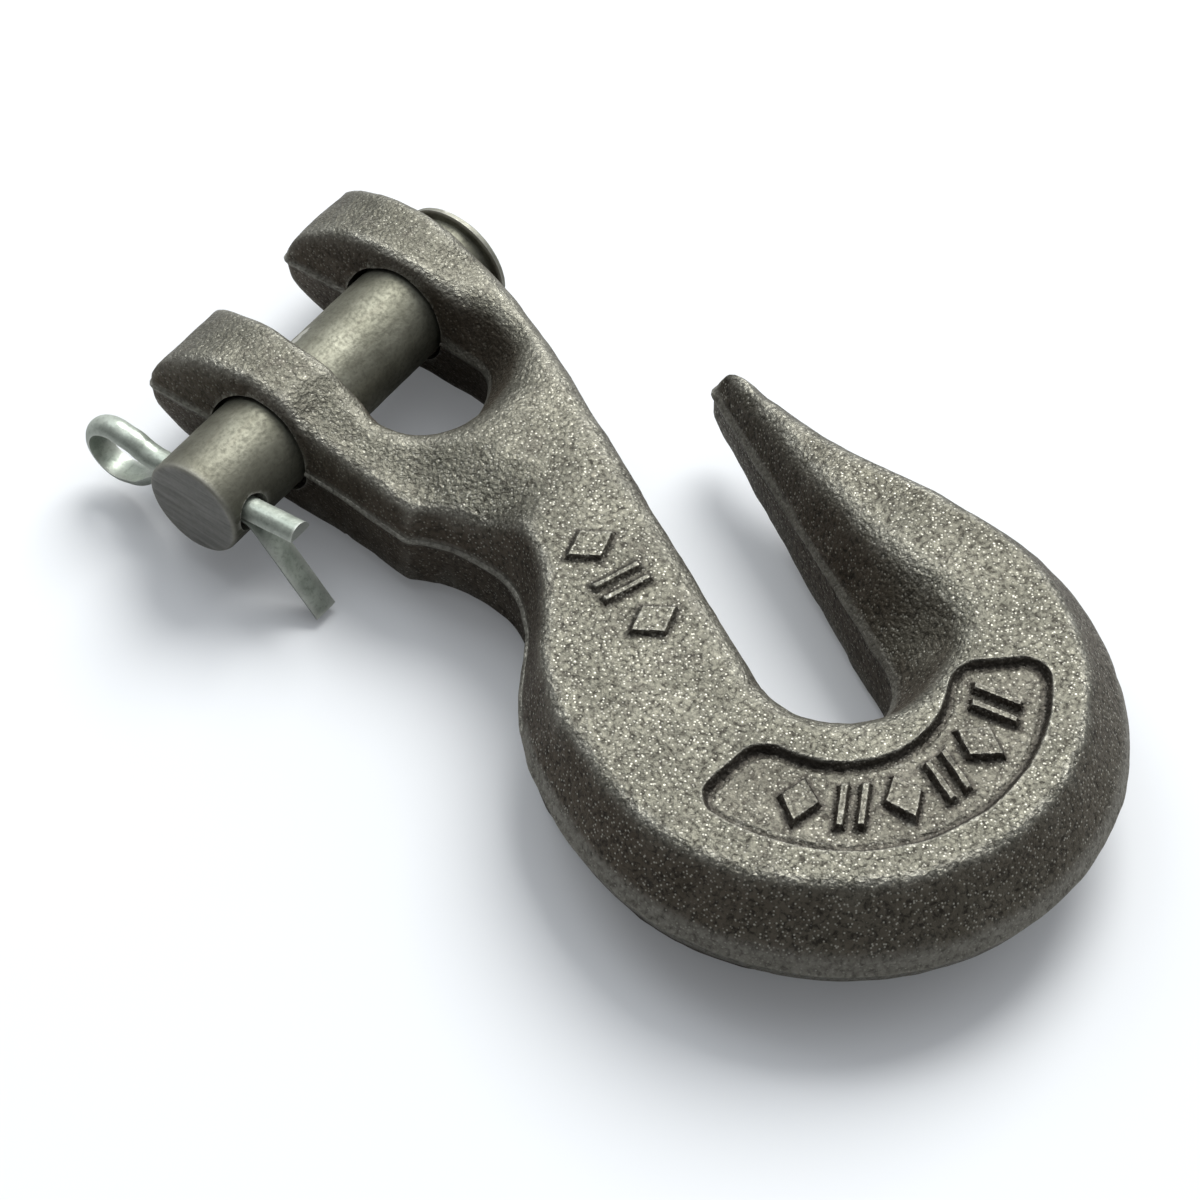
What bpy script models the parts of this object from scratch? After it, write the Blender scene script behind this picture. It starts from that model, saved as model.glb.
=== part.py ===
"""Clevis grab hook for a 3/8 in (10 mm) chain: a drop-forged hook, its clevis pin and the split
pin that keeps it.

Frame: origin on the clevis pin's axis, at the centre of the pin's plain end face. +X runs along
the pin to its head, +Y from the bowl towards the open end of the clevis, and +Z is normal to the
die parting plane z = 0. Left is -X and right is +X.
Lengths are in millimetres, with x counted from the middle of the clevis gap, and MM turns them
into metres when the meshes are made. The pieces are then placed from MIDDLE, the middle of the gap.
"""

import math

import bmesh
import bpy
import numpy as np
from mathutils import Matrix, Vector
from mathutils.geometry import delaunay_2d_cdt

MM = 0.001
QUARTER = math.pi / 2

# --- clevis ---
EAR_LEFT, EAR_RIGHT = -16.6, 16.7    # outer faces at the pin, at the parting line
EAR_LEFT_NOSE = -17.3                # the left ear leans out a little towards its open end
NOSE_Y = 15.0                        # open end of the ears
NOSE_CORNER = 1.1                    # corner radius of an ear, seen from above
EAR_CENTRE_Y, EAR_HALF = 2.7, 8.2    # where the ears are thickest, and half their thickness there
EAR_LEFT_FOOT_Y, EAR_RIGHT_FOOT_Y = 1.0, 2.0    # where the straight outer faces end
GAP_HALF, GAP_HALF_NOSE = 6.4, 5.4   # half widths of the gap, inside and at its open end
GAP_STRAIGHT_Y = -4.0                # where the gap's sides turn parallel
GAP_CENTRE_Y, GAP_BOTTOM_Y = -10.3, -15.4       # where the sides end, and the bottom
GAP_POWER = 2.3                      # the bottom is squarer than an ellipse
PIN_HOLE_R = 6.1                     # drilled through both ears

# --- bowl, slot and tip ---
BOWL_X, BOWL_Y, BOWL_R = -8.25, -67.2, 30.6
BOWL_START, BOWL_RIM_START, BOWL_END = (math.radians(angle) for angle in (150, 212, 362))
SLOT_ANGLE = math.radians(28.2)      # the slot leans this far from the hook's long axis
SEAT_X, SEAT_Y, SLOT_HALF = -5.3, -65.1, 6.25
TIP_Y, TIP_INNER_Y = -32.7, -34.9    # end of the tip, and where the slot's tip side begins
SHANK_TOP_Y = -23.5                  # where the slot's shank side ends
BODY_HALF, TIP_HALF = 8.6, 4.2       # half thickness of the bowl and shank, and of the tip

# --- sunk pad on the bowl: part of a ring with rounded corners ---
PAD_R, PAD_HALF, PAD_CORNER, PAD_DEPTH = 16.25, 5.25, 3.0, 0.8
PAD_MIDDLE, PAD_SPREAD = math.radians(243.2), math.radians(70.3)
PAD_FLOOR_INSET = 0.7                # from the pad's rim to the edge of its floor
PAD_RAMP = 0.69                      # just less, so that the floor's edge is at full depth
PAD_STEP = 1.8

# --- raised size mark on the shank: lozenge, two bars, lozenge ---
MARKS_X, MARKS_Y = -12.8, -44.2
MARKS_ALONG = (-0.33, -0.944)        # direction of the row
MARKS_HEIGHT, MARKS_EDGE = 0.6, 0.35     # height, and width of the sloping edge
MARKS_STEP = 1.2
LOZENGE_OFF, BAR_OFF = 5.6, 0.95
LOZENGE, BAR = (2.2, 3.1), (0.5, 2.9)    # half length and half height
# middle along the row, half length, half height, whether it is a lozenge
SIZE_MARKS = [
    (-LOZENGE_OFF, *LOZENGE, True),
    (-BAR_OFF, *BAR, False),
    (BAR_OFF, *BAR, False),
    (LOZENGE_OFF, *LOZENGE, True),
]

# --- clevis pin ---
PIN_R = 5.75
PIN_END_X = -27.2
PIN_END_EDGE = [(0.0, 0.45), (0.35, 0.05), (0.7, 0.0)]    # distance from the end, radius lost
PIN_STATIONS = (-26.0, -20.5, -13.0, -4.0, 5.0, 12.0)     # x of the rings along the shank
HEAD_X, HEAD_R, HEAD_T = 17.0, 6.8, 1.25
HEAD_CHAMFER, HEAD_RIM = 0.25, 0.6   # chamfer under the head, and where its rounding starts
HEAD_FACE_R, HEAD_ROUNDING_STEPS = 4.6, 5
CROSS_X, CROSS_R = -23.9, 2.1        # cross hole for the split pin
COTTER_TILT = math.radians(-7)       # the split pin's eye hangs a little below the parting plane

# --- split pin ---
WIRE_R = 1.52                        # radius of the two half-round legs together
LEG_SPLIT = 0.1                      # half the slit between the legs
EYE_U, EYE_DROP, EYE_LONG, EYE_TALL = 12.9, -1.3, 2.95, 2.75    # middle and half sizes
EYE_SWEEP, EYE_STEPS = 112, 12       # degrees each way from the far end of the eye
SHORT_LEG_END = -12.0                # ends of the legs along the split pin's own axis
LONG_LEG_BEND, LONG_LEG_END = (-6.75, -1.2), (-14.1, -10.1)
FLAT_CORNER = 0.985                  # narrows the wire's flat side a little
COTTER_STEP, COTTER_ACROSS = 0.75, 9     # step along the wire, and points across its section

# --- mesh of the forging ---
OUTLINE_STEP, TIP_STEP = 2.2, 1.0
GRID_X = (-39, 23, 3.3)              # first, end and step of the grid over the flat middle
GRID_Y = (-98, 15, 2.9)

MIDDLE = Vector((-PIN_END_X * MM, 0, 0))

SHARP_ANGLE = math.radians(30)
FORGED_STEEL = dict(colour=(0.115, 0.105, 0.092), roughness=0.62, metallic=0.75)
PIN_STEEL = dict(colour=(0.20, 0.20, 0.175), roughness=0.48, metallic=0.85)
ZINC_STEEL = dict(colour=(0.36, 0.38, 0.34), roughness=0.42, metallic=0.85)


# === Curves: each leaves out its last point, where the next one starts ===
def through(points, step=OUTLINE_STEP):
    """A Catmull-Rom curve through the points, resampled at about this step."""
    knots = [np.array(point, float) for point in points]
    knots = [2 * knots[0] - knots[1]] + knots + [2 * knots[-1] - knots[-2]]
    curve = []
    for before, start, end, after in zip(knots, knots[1:], knots[2:], knots[3:]):
        count = max(1, round(np.linalg.norm(end - start) / step))
        linear = end - before
        square = 2 * before - 5 * start + 4 * end - after
        cube = 3 * start - before - 3 * end + after
        for k in range(count):
            part = k / count
            curve.append(0.5 * (2 * start + linear * part + square * part**2 + cube * part**3))
    return curve


def line(start, end, step=OUTLINE_STEP):
    count = max(1, round(math.dist(start, end) / step))
    start, end = np.array(start, float), np.array(end, float)
    return [start + (end - start) * k / count for k in range(count)]


def arc(centre, radii, start, end, power=2.0):
    """An elliptic arc, or a squarer one for a power above 2."""
    count = max(3, round(abs(end - start) * max(radii) / OUTLINE_STEP))
    points = []
    for k in range(count):
        angle = start + (end - start) * k / count
        point = [
            middle + radius * math.copysign(abs(part) ** (2 / power), part)
            for middle, radius, part in zip(centre, radii, (math.cos(angle), math.sin(angle)))
        ]
        points.append(np.array(point))
    return points


def nose_corner(x, start):
    """A quarter turn round the corner of an ear, about a centre at this x."""
    return arc((x, NOSE_Y - NOSE_CORNER), (NOSE_CORNER, NOSE_CORNER), start, start + QUARTER)


# === Outline of the forging in the parting plane ===
# Section profiles: width and height of the flash land, slope of the wall above it, and radius of
# the top edge.
CLEVIS_SIDE = (0.3, 1.0, 8.0, 1.7)
GAP_SIDE = (0.35, 0.9, 6.0, 1.6)
GAP_END = (0.35, 0.9, 1.9, 4.2)      # the upper face rolls down into the bottom of the gap
WAIST = (0.45, 1.0, 7.0, 1.7)
BOWL_RIM = (0.6, 1.75, 1.42, 1.9)
BOWL_LEFT = (0.55, 1.5, 2.4, 1.9)
ARM_BACK = (0.6, 1.6, 1.5, 3.2)
TIP_END = (0.5, 1.1, 2.2, 2.2)
TIP_INSIDE = (0.35, 0.9, 3.4, 2.6)
ARM_ROOT = (0.45, 1.1, 1.05, 4.0)
SEAT = (0.45, 1.0, 2.6, 3.0)
SHANK_INSIDE = (0.5, 1.1, 3.0, 3.2)
STEEP = (0.3, 0.9, 25.0, 1.0)        # the underside is steep all round the slot
WAIST_LOW = (0.45, 1.0, 12.0, 1.2)   # and squarer under the waist

# Slot: unit directions from its mouth to the seat, and from the shank to the tip
SLOT_ALONG = np.array([-math.sin(SLOT_ANGLE), -math.cos(SLOT_ANGLE)])
SLOT_ACROSS = np.array([math.cos(SLOT_ANGLE), -math.sin(SLOT_ANGLE)])
TIP_FOOT = np.array([SEAT_X, SEAT_Y]) + SLOT_HALF * SLOT_ACROSS
SHANK_FOOT = np.array([SEAT_X, SEAT_Y]) - SLOT_HALF * SLOT_ACROSS
TIP_INNER = TIP_FOOT - SLOT_ALONG * ((TIP_FOOT[1] - TIP_INNER_Y) / SLOT_ALONG[1])
SHANK_TOP = SHANK_FOOT - SLOT_ALONG * ((SHANK_FOOT[1] - SHANK_TOP_Y) / SLOT_ALONG[1])


def bowl_point(angle):
    return (BOWL_X + BOWL_R * math.cos(angle), BOWL_Y + BOWL_R * math.sin(angle))


# x, y of the points that the outline's free curves pass through
LEFT_FLANK = [
    (EAR_LEFT, EAR_LEFT_FOOT_Y), (EAR_LEFT, -4.0), (-16.65, -9), (-16.8, -14), (-17.1, -18),
]
LEFT_WAIST = [
    LEFT_FLANK[-1], (-17.1, -20.1), (-16.1, -21.9), (-15.1, -24.5), (-14.7, -28.3),
    (-14.95, -31.4), (-16.4, -34.2), (-18.8, -36.7),
]
BOWL_SHOULDER = [
    LEFT_WAIST[-1], (-21.9, -38.7), (-25.3, -40.8), (-28.7, -43.6), (-31.9, -47.2),
    bowl_point(BOWL_START),
]
ARM_OUTSIDE = [
    bowl_point(BOWL_END), (22.4, -62.3), (22.1, -58.3), (21.6, -54.3), (21.3, -50.3),
    (21.4, -46.3), (21.8, -42.3), (22.3, -38.7),
]
TIP = [
    ARM_OUTSIDE[-1], (22.5, -35.9), (21.9, -33.8), (20.5, TIP_Y), (19.1, -33.0), TIP_INNER,
]
RIGHT_FLANK = [
    SHANK_TOP, (12.2, -18.2), (14.0, -13.7), (15.3, -9.6), (16.1, -5.6), (16.5, -2.0),
    (EAR_RIGHT, EAR_RIGHT_FOOT_Y),
]


def mixed(first, second, share):
    return tuple(one + (other - one) * share for one, other in zip(first, second))


def run(points, top, top_end=None, low=None, low_from=None):
    """(point, upper profile, lower profile) for each point of one run of the outline.

    The upper profile blends from top to top_end. The lower one follows it unless low is given,
    and starts from low_from where that is given.
    """
    parts = []
    for k, point in enumerate(points):
        share = k / len(points)
        upper = top if top_end is None else mixed(top, top_end, share)
        lower = low or upper
        if low_from is not None:
            lower = mixed(low_from, lower, share)
        parts.append((point, upper, lower))
    return parts


def left_side():
    """Left ear from the gap outwards, then down its flank and waist to the bowl."""
    ear_side = (EAR_LEFT_NOSE, NOSE_Y - NOSE_CORNER)
    nose_start = (-GAP_HALF_NOSE - NOSE_CORNER, NOSE_Y)
    return (
        run(line(nose_start, (EAR_LEFT_NOSE + NOSE_CORNER, NOSE_Y)), CLEVIS_SIDE)
        + run(nose_corner(EAR_LEFT_NOSE + NOSE_CORNER, QUARTER), CLEVIS_SIDE)
        + run(line(ear_side, LEFT_FLANK[0]), CLEVIS_SIDE)
        + run(through(LEFT_FLANK), CLEVIS_SIDE, WAIST, WAIST_LOW)
        + run(through(LEFT_WAIST), WAIST, low=WAIST_LOW)
        + run(through(BOWL_SHOULDER), WAIST, BOWL_LEFT, BOWL_LEFT, WAIST_LOW)
    )


def bowl_and_arm():
    """Round the bowl, then up the outside of the tip arm and over the tip."""
    centre, radii = (BOWL_X, BOWL_Y), (BOWL_R, BOWL_R)
    return (
        run(arc(centre, radii, BOWL_START, BOWL_RIM_START), BOWL_LEFT, BOWL_RIM)
        + run(arc(centre, radii, BOWL_RIM_START, BOWL_END), BOWL_RIM)
        + run(through(ARM_OUTSIDE), BOWL_RIM, ARM_BACK)
        + run(through(TIP, TIP_STEP), TIP_END, low=STEEP, low_from=ARM_BACK)
    )


def slot():
    """Down the inside of the tip arm, round the seat and up the inside of the shank."""
    middle = TIP_INNER + (TIP_FOOT - TIP_INNER) * 0.45
    centre, radii = (SEAT_X, SEAT_Y), (SLOT_HALF, SLOT_HALF)
    start = math.atan2(SLOT_ACROSS[1], SLOT_ACROSS[0])
    bottom = start - QUARTER
    return (
        run(line(TIP_INNER, middle), TIP_INSIDE, low=STEEP)
        + run(line(middle, TIP_FOOT), TIP_INSIDE, ARM_ROOT, STEEP)
        + run(arc(centre, radii, start, bottom), ARM_ROOT, SEAT, STEEP)
        + run(arc(centre, radii, bottom, start - 2 * QUARTER), SEAT, SHANK_INSIDE, STEEP)
        + run(line(SHANK_FOOT, SHANK_TOP), SHANK_INSIDE, low_from=STEEP)
    )


def right_side():
    """Right flank, and the right ear to the gap."""
    ear_side = (EAR_RIGHT, NOSE_Y - NOSE_CORNER)
    nose_end = (GAP_HALF_NOSE + NOSE_CORNER, NOSE_Y)
    return (
        run(through(RIGHT_FLANK), SHANK_INSIDE, CLEVIS_SIDE)
        + run(line(RIGHT_FLANK[-1], ear_side), CLEVIS_SIDE)
        + run(nose_corner(EAR_RIGHT - NOSE_CORNER, 0), CLEVIS_SIDE)
        + run(line((EAR_RIGHT - NOSE_CORNER, NOSE_Y), nose_end), CLEVIS_SIDE)
    )


def gap():
    """Down the gap's right side, round its bottom and up its left side."""
    mouth_y = NOSE_Y - NOSE_CORNER
    corner_x = GAP_HALF_NOSE + NOSE_CORNER
    right_knee, right_end = (GAP_HALF, GAP_STRAIGHT_Y), (GAP_HALF, GAP_CENTRE_Y)
    left_knee, left_end = (-GAP_HALF, GAP_STRAIGHT_Y), (-GAP_HALF, GAP_CENTRE_Y)
    radii = (GAP_HALF, GAP_CENTRE_Y - GAP_BOTTOM_Y)
    bottom = arc((0, GAP_CENTRE_Y), radii, 0, -math.pi, GAP_POWER)
    return (
        run(nose_corner(corner_x, QUARTER), GAP_SIDE)
        + run(line((GAP_HALF_NOSE, mouth_y), right_knee), GAP_SIDE)
        + run(line(right_knee, right_end), GAP_SIDE, GAP_END, GAP_SIDE)
        + run(bottom, GAP_END, low=GAP_SIDE)
        + run(line(left_end, left_knee), GAP_END, GAP_SIDE, GAP_SIDE)
        + run(line(left_knee, (-GAP_HALF_NOSE, mouth_y)), GAP_SIDE)
        + run(nose_corner(-corner_x, 0), GAP_SIDE)
    )


def outline():
    """The parting line anticlockwise, with the upper and lower profiles of its points."""
    parts = left_side() + bowl_and_arm() + slot() + right_side() + gap()
    return tuple(np.array(column) for column in zip(*parts))


# === Height of the forging ===
# How much of the upper face's shaping each face has: the underside is flatter.
TOP_RELIEF, LOW_RELIEF = 1.0, 0.15

# (y, half thickness) along the body and along the tip arm
BODY_KNOTS = [
    (-33.0, BODY_HALF), (-25.0, 7.9), (-18.0, 7.3), (-11.5, 7.5), (-6.0, 7.8), (-2.0, 8.15),
    (EAR_CENTRE_Y, EAR_HALF),
]
ARM_KNOTS = [(-65.3, BODY_HALF), (-55.3, 7.6), (-45.3, 6.1), (-37.3, 4.8), (TIP_Y, TIP_HALF)]
# (y, fall of the outer shoulder), and (distance from x = 0, share of that fall)
LEFT_FALL = [
    (-33.0, 0.0), (-27.0, 2.9), (-20.0, 2.7), (-11.0, 2.5), (-6.0, 2.0), (-1.0, 0.3), (1.5, 0.0),
]
LEFT_REACH = [(5.0, 0.0), (15.0, 1.0)]
RIGHT_FALL = [(-20.0, 0.0), (-13.0, 1.2), (-6.0, 1.2), (0.0, 0.0)]
RIGHT_REACH = [(5.0, 0.0), (14.0, 1.0)]
# The body hands over to the arm across the slot, and along y
ARM_ACROSS = [(0.0, 0.0), (SLOT_HALF, 1.0)]
ARM_RISE = [(-67.3, 0.0), (-61.3, 1.0)]


def eased(position, knots):
    """Values through (position, value) knots with a smooth ramp between each two."""
    places, values = (np.array(column) for column in zip(*knots))
    position = np.clip(position, places[0], places[-1])
    k = np.clip(np.searchsorted(places, position, side="right") - 1, 0, len(places) - 2)
    share = (position - places[k]) / (places[k + 1] - places[k])
    share = share * share * (3 - 2 * share)
    return values[k] + (values[k + 1] - values[k]) * share


def plateau(x, y, relief):
    """Height of the forging above the parting plane away from its edges."""
    # ears: rounded in side view from their thickest point to the open end
    ahead = np.clip((y - EAR_CENTRE_Y) / (NOSE_Y + 0.05 - EAR_CENTRE_Y), 0, 1)
    ear_half = BODY_HALF + (EAR_HALF - BODY_HALF) * relief
    ear = ear_half * np.sqrt(1 - ahead ** (2.05 + 0.9 * (1 - relief)))
    body = BODY_HALF + (eased(y, BODY_KNOTS) - BODY_HALF) * relief
    # outer shoulders of the clevis and waist fall away from the middle
    body = body - relief * eased(y, LEFT_FALL) * eased(-x, LEFT_REACH)
    body = body - relief * eased(y, RIGHT_FALL) * eased(x, RIGHT_REACH)
    side = (x - SEAT_X) * SLOT_ACROSS[0] + (y - SEAT_Y) * SLOT_ACROSS[1]
    on_arm = eased(side, ARM_ACROSS) * eased(y, ARM_RISE)
    return np.where(y > EAR_CENTRE_Y, ear, body + (eased(y, ARM_KNOTS) - body) * on_arm)


def top_edge(height, land, foot, slope, radius):
    """Distances inside the parting line of the top edge's arc centre and of the arc's start."""
    cosine = slope / np.sqrt(1 + slope * slope)
    centre = land + (height - radius - foot) / slope + radius / cosine
    return centre, centre - radius * cosine


def profile_height(distance, height, profile):
    """Height at a distance from the parting line of a section that levels out at height."""
    land, foot, slope, radius = profile
    # a low section gets a smaller radius, so that some wall remains
    room = np.maximum(height - foot, 0.1) / (1 - 1 / np.sqrt(1 + slope * slope) + 1e-9) * 0.8
    radius = np.minimum(radius, room)
    centre, start = top_edge(height, land, foot, slope, radius)
    wall = np.where(distance < land, foot * distance / land, foot + (distance - land) * slope)
    fall = np.sqrt(np.maximum(radius**2 - (centre - distance) ** 2, 0))
    rounded = height - radius + fall
    below = np.where(distance > start, rounded, np.minimum(wall, height))
    return np.where(distance >= centre, height, below)


def edge_distances(points, loop):
    """Distance of each point to each edge of the loop."""
    edges = np.roll(loop, -1, axis=0) - loop
    offsets = points[:, None, :] - loop[None]
    share = np.clip((offsets * edges).sum(2) / (edges * edges).sum(1), 0, 1)
    return np.linalg.norm(offsets - share[..., None] * edges, axis=2)


def forging_height(points, loop, profiles, relief):
    """Height at each point: the lowest that any edge's section allows."""
    distances = edge_distances(points, loop)
    level = plateau(points[:, 0], points[:, 1], relief)
    profiles = 0.5 * (profiles + np.roll(profiles, -1, axis=0))
    columns = tuple(profiles[None, :, k] for k in range(4))
    return profile_height(distances, level[:, None], columns).min(axis=1)


# === Sunk pad and raised marks ===
def pad_distance(x, y):
    """Distance inside (positive) the border of the sunk pad."""
    radius = np.hypot(x - BOWL_X, y - BOWL_Y)
    turn = np.arctan2(y - BOWL_Y, x - BOWL_X) - PAD_MIDDLE
    angle = np.abs((turn + math.pi) % (2 * math.pi) - math.pi)
    radial = np.abs(radius - PAD_R) - PAD_HALF + PAD_CORNER
    around = (angle - PAD_SPREAD) * radius + PAD_CORNER
    outside = np.hypot(np.maximum(radial, 0), np.maximum(around, 0))
    return PAD_CORNER - outside - np.minimum(np.maximum(radial, around), 0)


def pad_border(inset):
    """Points along the pad's border, moved inwards by the inset."""
    corner = PAD_CORNER - inset
    polar = []
    for out, way in ((1, -1), (1, 1), (-1, 1), (-1, -1)):
        turns = [math.radians(90 * k / 4) for k in range(5)]
        if out * way < 0:
            turns.reverse()
        for turn in turns:
            radius = PAD_R + out * (PAD_HALF - PAD_CORNER + corner * math.cos(turn))
            inward = (PAD_CORNER - corner * math.sin(turn)) / radius
            polar.append((radius, way * (PAD_SPREAD - inward)))
    points = []
    for (radius1, angle1), (radius2, angle2) in zip(polar, polar[1:] + polar[:1]):
        length = math.hypot(radius2 - radius1, (angle2 - angle1) * radius1)
        count = max(1, round(length / PAD_STEP))
        for k in range(count):
            radius = radius1 + (radius2 - radius1) * k / count
            angle = PAD_MIDDLE + angle1 + (angle2 - angle1) * k / count
            points.append((BOWL_X + radius * math.cos(angle), BOWL_Y + radius * math.sin(angle)))
    return points


def marks_raised(x, y):
    """How far the raised marks stand up: 0 to 1, with a sloping edge."""
    row_x, row_y = MARKS_ALONG
    along = (x - MARKS_X) * row_x + (y - MARKS_Y) * row_y
    across = np.abs((y - MARKS_Y) * row_x - (x - MARKS_X) * row_y)
    best = np.full_like(x, -9.0)
    for middle, long, tall, lozenge in SIZE_MARKS:
        off = np.abs(along - middle)
        if lozenge:
            inside = (long * tall - tall * off - long * across) / math.hypot(long, tall)
        else:
            inside = np.minimum(long - off, tall - across)
        best = np.maximum(best, inside)
    # a hair more, so that the edge of the flat top is at full height
    return np.clip(best / MARKS_EDGE + 0.001, 0, 1)


def marks_border(inset):
    """Points along the border of each mark, moved inwards by the inset."""
    row_x, row_y = MARKS_ALONG
    points = []
    for middle, long, tall, lozenge in SIZE_MARKS:
        if lozenge:
            scale = 1 - inset * math.hypot(long, tall) / (long * tall)
            a, b = long * scale, tall * scale
            corners = [(a, 0), (0, b), (-a, 0), (0, -b)]
        else:
            a, b = max(long - inset, 0.08), tall - inset
            corners = [(a, b), (-a, b), (-a, -b), (a, -b)]
        for start, end in zip(corners, corners[1:] + corners[:1]):
            for off, across in line(start, end, MARKS_STEP):
                along = middle + off
                x = MARKS_X + along * row_x - across * row_y
                y = MARKS_Y + along * row_y + across * row_x
                points.append((x, y))
    return points


# === Forging ===
def ring_rows(loop, inward, profiles, low_profiles):
    """(distance inside each outline point, squared gap to keep) for each row of mesh points."""
    x, y = (loop + 2.5 * inward).T
    radius = profiles[:, 3]
    centre, start = top_edge(plateau(x, y, TOP_RELIEF), *profiles.T)
    low_radius = low_profiles[:, 3]
    low_centre, low_start = top_edge(plateau(x, y, LOW_RELIEF), *low_profiles.T)
    # the underside needs rows of its own only where its profile differs
    differs = (low_profiles != profiles).any(axis=1)
    return [
        (profiles[:, 0], 0.0225),
        (start, 0.3),
        (centre - radius * 0.62, 0.3),
        (centre - radius * 0.28, 0.3),
        (centre + 0.1, 0.3),
        (np.where(differs, low_start, -1.0), 0.09),
        (np.where(differs, low_centre - low_radius * 0.28, -1.0), 0.09),
    ]


def ring_points(loop, profiles, low_profiles):
    """Mesh points in rows inside the outline, where the sections bend."""
    tangent = np.roll(loop, -1, axis=0) - np.roll(loop, 1, axis=0)
    tangent /= np.linalg.norm(tangent, axis=1)[:, None]
    inward = np.stack([-tangent[:, 1], tangent[:, 0]], axis=1)
    kept = []
    for offsets, gap_squared in ring_rows(loop, inward, profiles, low_profiles):
        ring = loop + inward * offsets[:, None]
        nearest = edge_distances(ring, loop).min(axis=1)
        for point, distance, offset in zip(ring, nearest, offsets):
            # drop points that another stretch of the outline is closer to
            if offset > 0 and distance > 0.93 * offset and distance > 0.2 and all(
                (point[0] - x) ** 2 + (point[1] - y) ** 2 > gap_squared for x, y in kept
            ):
                kept.append(tuple(point))
    return kept


def is_inside(point, loop):
    x, y = loop[:, 0], loop[:, 1]
    x2, y2 = np.roll(x, -1), np.roll(y, -1)
    spans = (y > point[1]) != (y2 > point[1])
    crosses = spans & (point[0] < (x2 - x) * (point[1] - y) / (y2 - y + 1e-12) + x)
    return bool(crosses.sum() % 2)


def grid_points(loop, others):
    """An even staggered grid over the flat middle, clear of the other points."""
    first, end, step = GRID_X
    grid = np.array([
        (x, y)
        for j, y in enumerate(np.arange(*GRID_Y))
        for x in np.arange(first + (j % 2) * step / 2, end, step)
    ])
    far = edge_distances(grid, loop).min(axis=1)
    near = np.array(others)
    return [
        tuple(point)
        for point, distance in zip(grid, far)
        if distance > 1.2
        and np.min(np.hypot(near[:, 0] - point[0], near[:, 1] - point[1])) > 1.4
        and is_inside(point, loop)
    ]


def build_hook():
    loop, profiles, low_profiles = outline()
    count = len(loop)
    points = ring_points(loop, profiles, low_profiles)
    points = [point for point in points if not -1.2 < pad_distance(*point) < 1.6]
    points += pad_border(0.0) + pad_border(PAD_FLOOR_INSET)
    points += marks_border(0.0) + marks_border(MARKS_EDGE)
    points += grid_points(loop, points)

    chosen = [Vector(point) for point in [tuple(point) for point in loop] + points]
    flat, _, faces, originals, _, _ = delaunay_2d_cdt(chosen, [], [list(range(count))], 1, 1e-5)
    flat = np.array([tuple(point) for point in flat])
    on_line = np.array([any(i < count for i in ids) for ids in originals])
    x, y = flat.T
    sunk = PAD_DEPTH * np.clip(pad_distance(x, y) / PAD_RAMP, 0, 1)
    raised = MARKS_HEIGHT * marks_raised(x, y)
    top = np.maximum(forging_height(flat, loop, profiles, TOP_RELIEF), 0.05) - sunk + raised
    low = -np.maximum(forging_height(flat, loop, low_profiles, LOW_RELIEF), 0.05)
    top, low = np.where(on_line, 0.0, top), np.where(on_line, 0.0, low)

    # both faces share their vertices along the parting line
    mesh = bmesh.new()
    upper = [mesh.verts.new((x * MM, y * MM, z * MM)) for (x, y), z in zip(flat, top)]
    lower = [
        shared if edge else mesh.verts.new((x * MM, y * MM, z * MM))
        for (x, y), z, shared, edge in zip(flat, low, upper, on_line)
    ]
    for face in faces:
        mesh.faces.new([upper[i] for i in face])
        mesh.faces.new([lower[i] for i in reversed(face)])
    hook = finished(mesh, "hook_body", FORGED_STEEL)
    hook.location = MIDDLE
    across = Matrix.Translation(MIDDLE) @ Matrix.Rotation(QUARTER, 4, "Y")
    drill(hook, "pin_hole", radius=PIN_HOLE_R, length=60, matrix=across, segments=64)


# === Shared helpers ===
def linked(name, data):
    obj = bpy.data.objects.new(name, data)
    bpy.context.scene.collection.objects.link(obj)
    return obj


def mesh_object(mesh, name):
    data = bpy.data.meshes.new(name)
    mesh.to_mesh(data)
    mesh.free()
    return linked(name, data)


def material(name, colour, roughness, metallic):
    made = bpy.data.materials.new(name)
    made.use_nodes = True
    shader = made.node_tree.nodes["Principled BSDF"]
    shader.inputs["Base Color"].default_value = (*colour, 1)
    shader.inputs["Roughness"].default_value = roughness
    shader.inputs["Metallic"].default_value = metallic
    made.diffuse_color = (*colour, 1)
    return made


def finished(mesh, name, steel):
    """An object of the mesh, smooth between its sharp edges, with its own steel."""
    bmesh.ops.recalc_face_normals(mesh, faces=mesh.faces)
    obj = mesh_object(mesh, name)
    obj.data.shade_smooth()
    obj.data.set_sharp_from_angle(angle=SHARP_ANGLE)
    obj.data.materials.append(material(name + "_steel", **steel))
    return obj


def drill(obj, name, radius, length, matrix, segments):
    """Cut a round hole with a hidden cylinder that lies along the matrix's Z."""
    mesh = bmesh.new()
    bmesh.ops.create_cone(
        mesh, cap_ends=True, segments=segments,
        radius1=radius * MM, radius2=radius * MM, depth=length * MM,
    )
    tool = mesh_object(mesh, name)
    tool.matrix_world = matrix
    tool.hide_render = True
    tool.display_type = "WIRE"
    boolean = obj.modifiers.new(name, "BOOLEAN")
    boolean.operation = "DIFFERENCE"
    boolean.solver = "EXACT"
    boolean.object = tool


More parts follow.
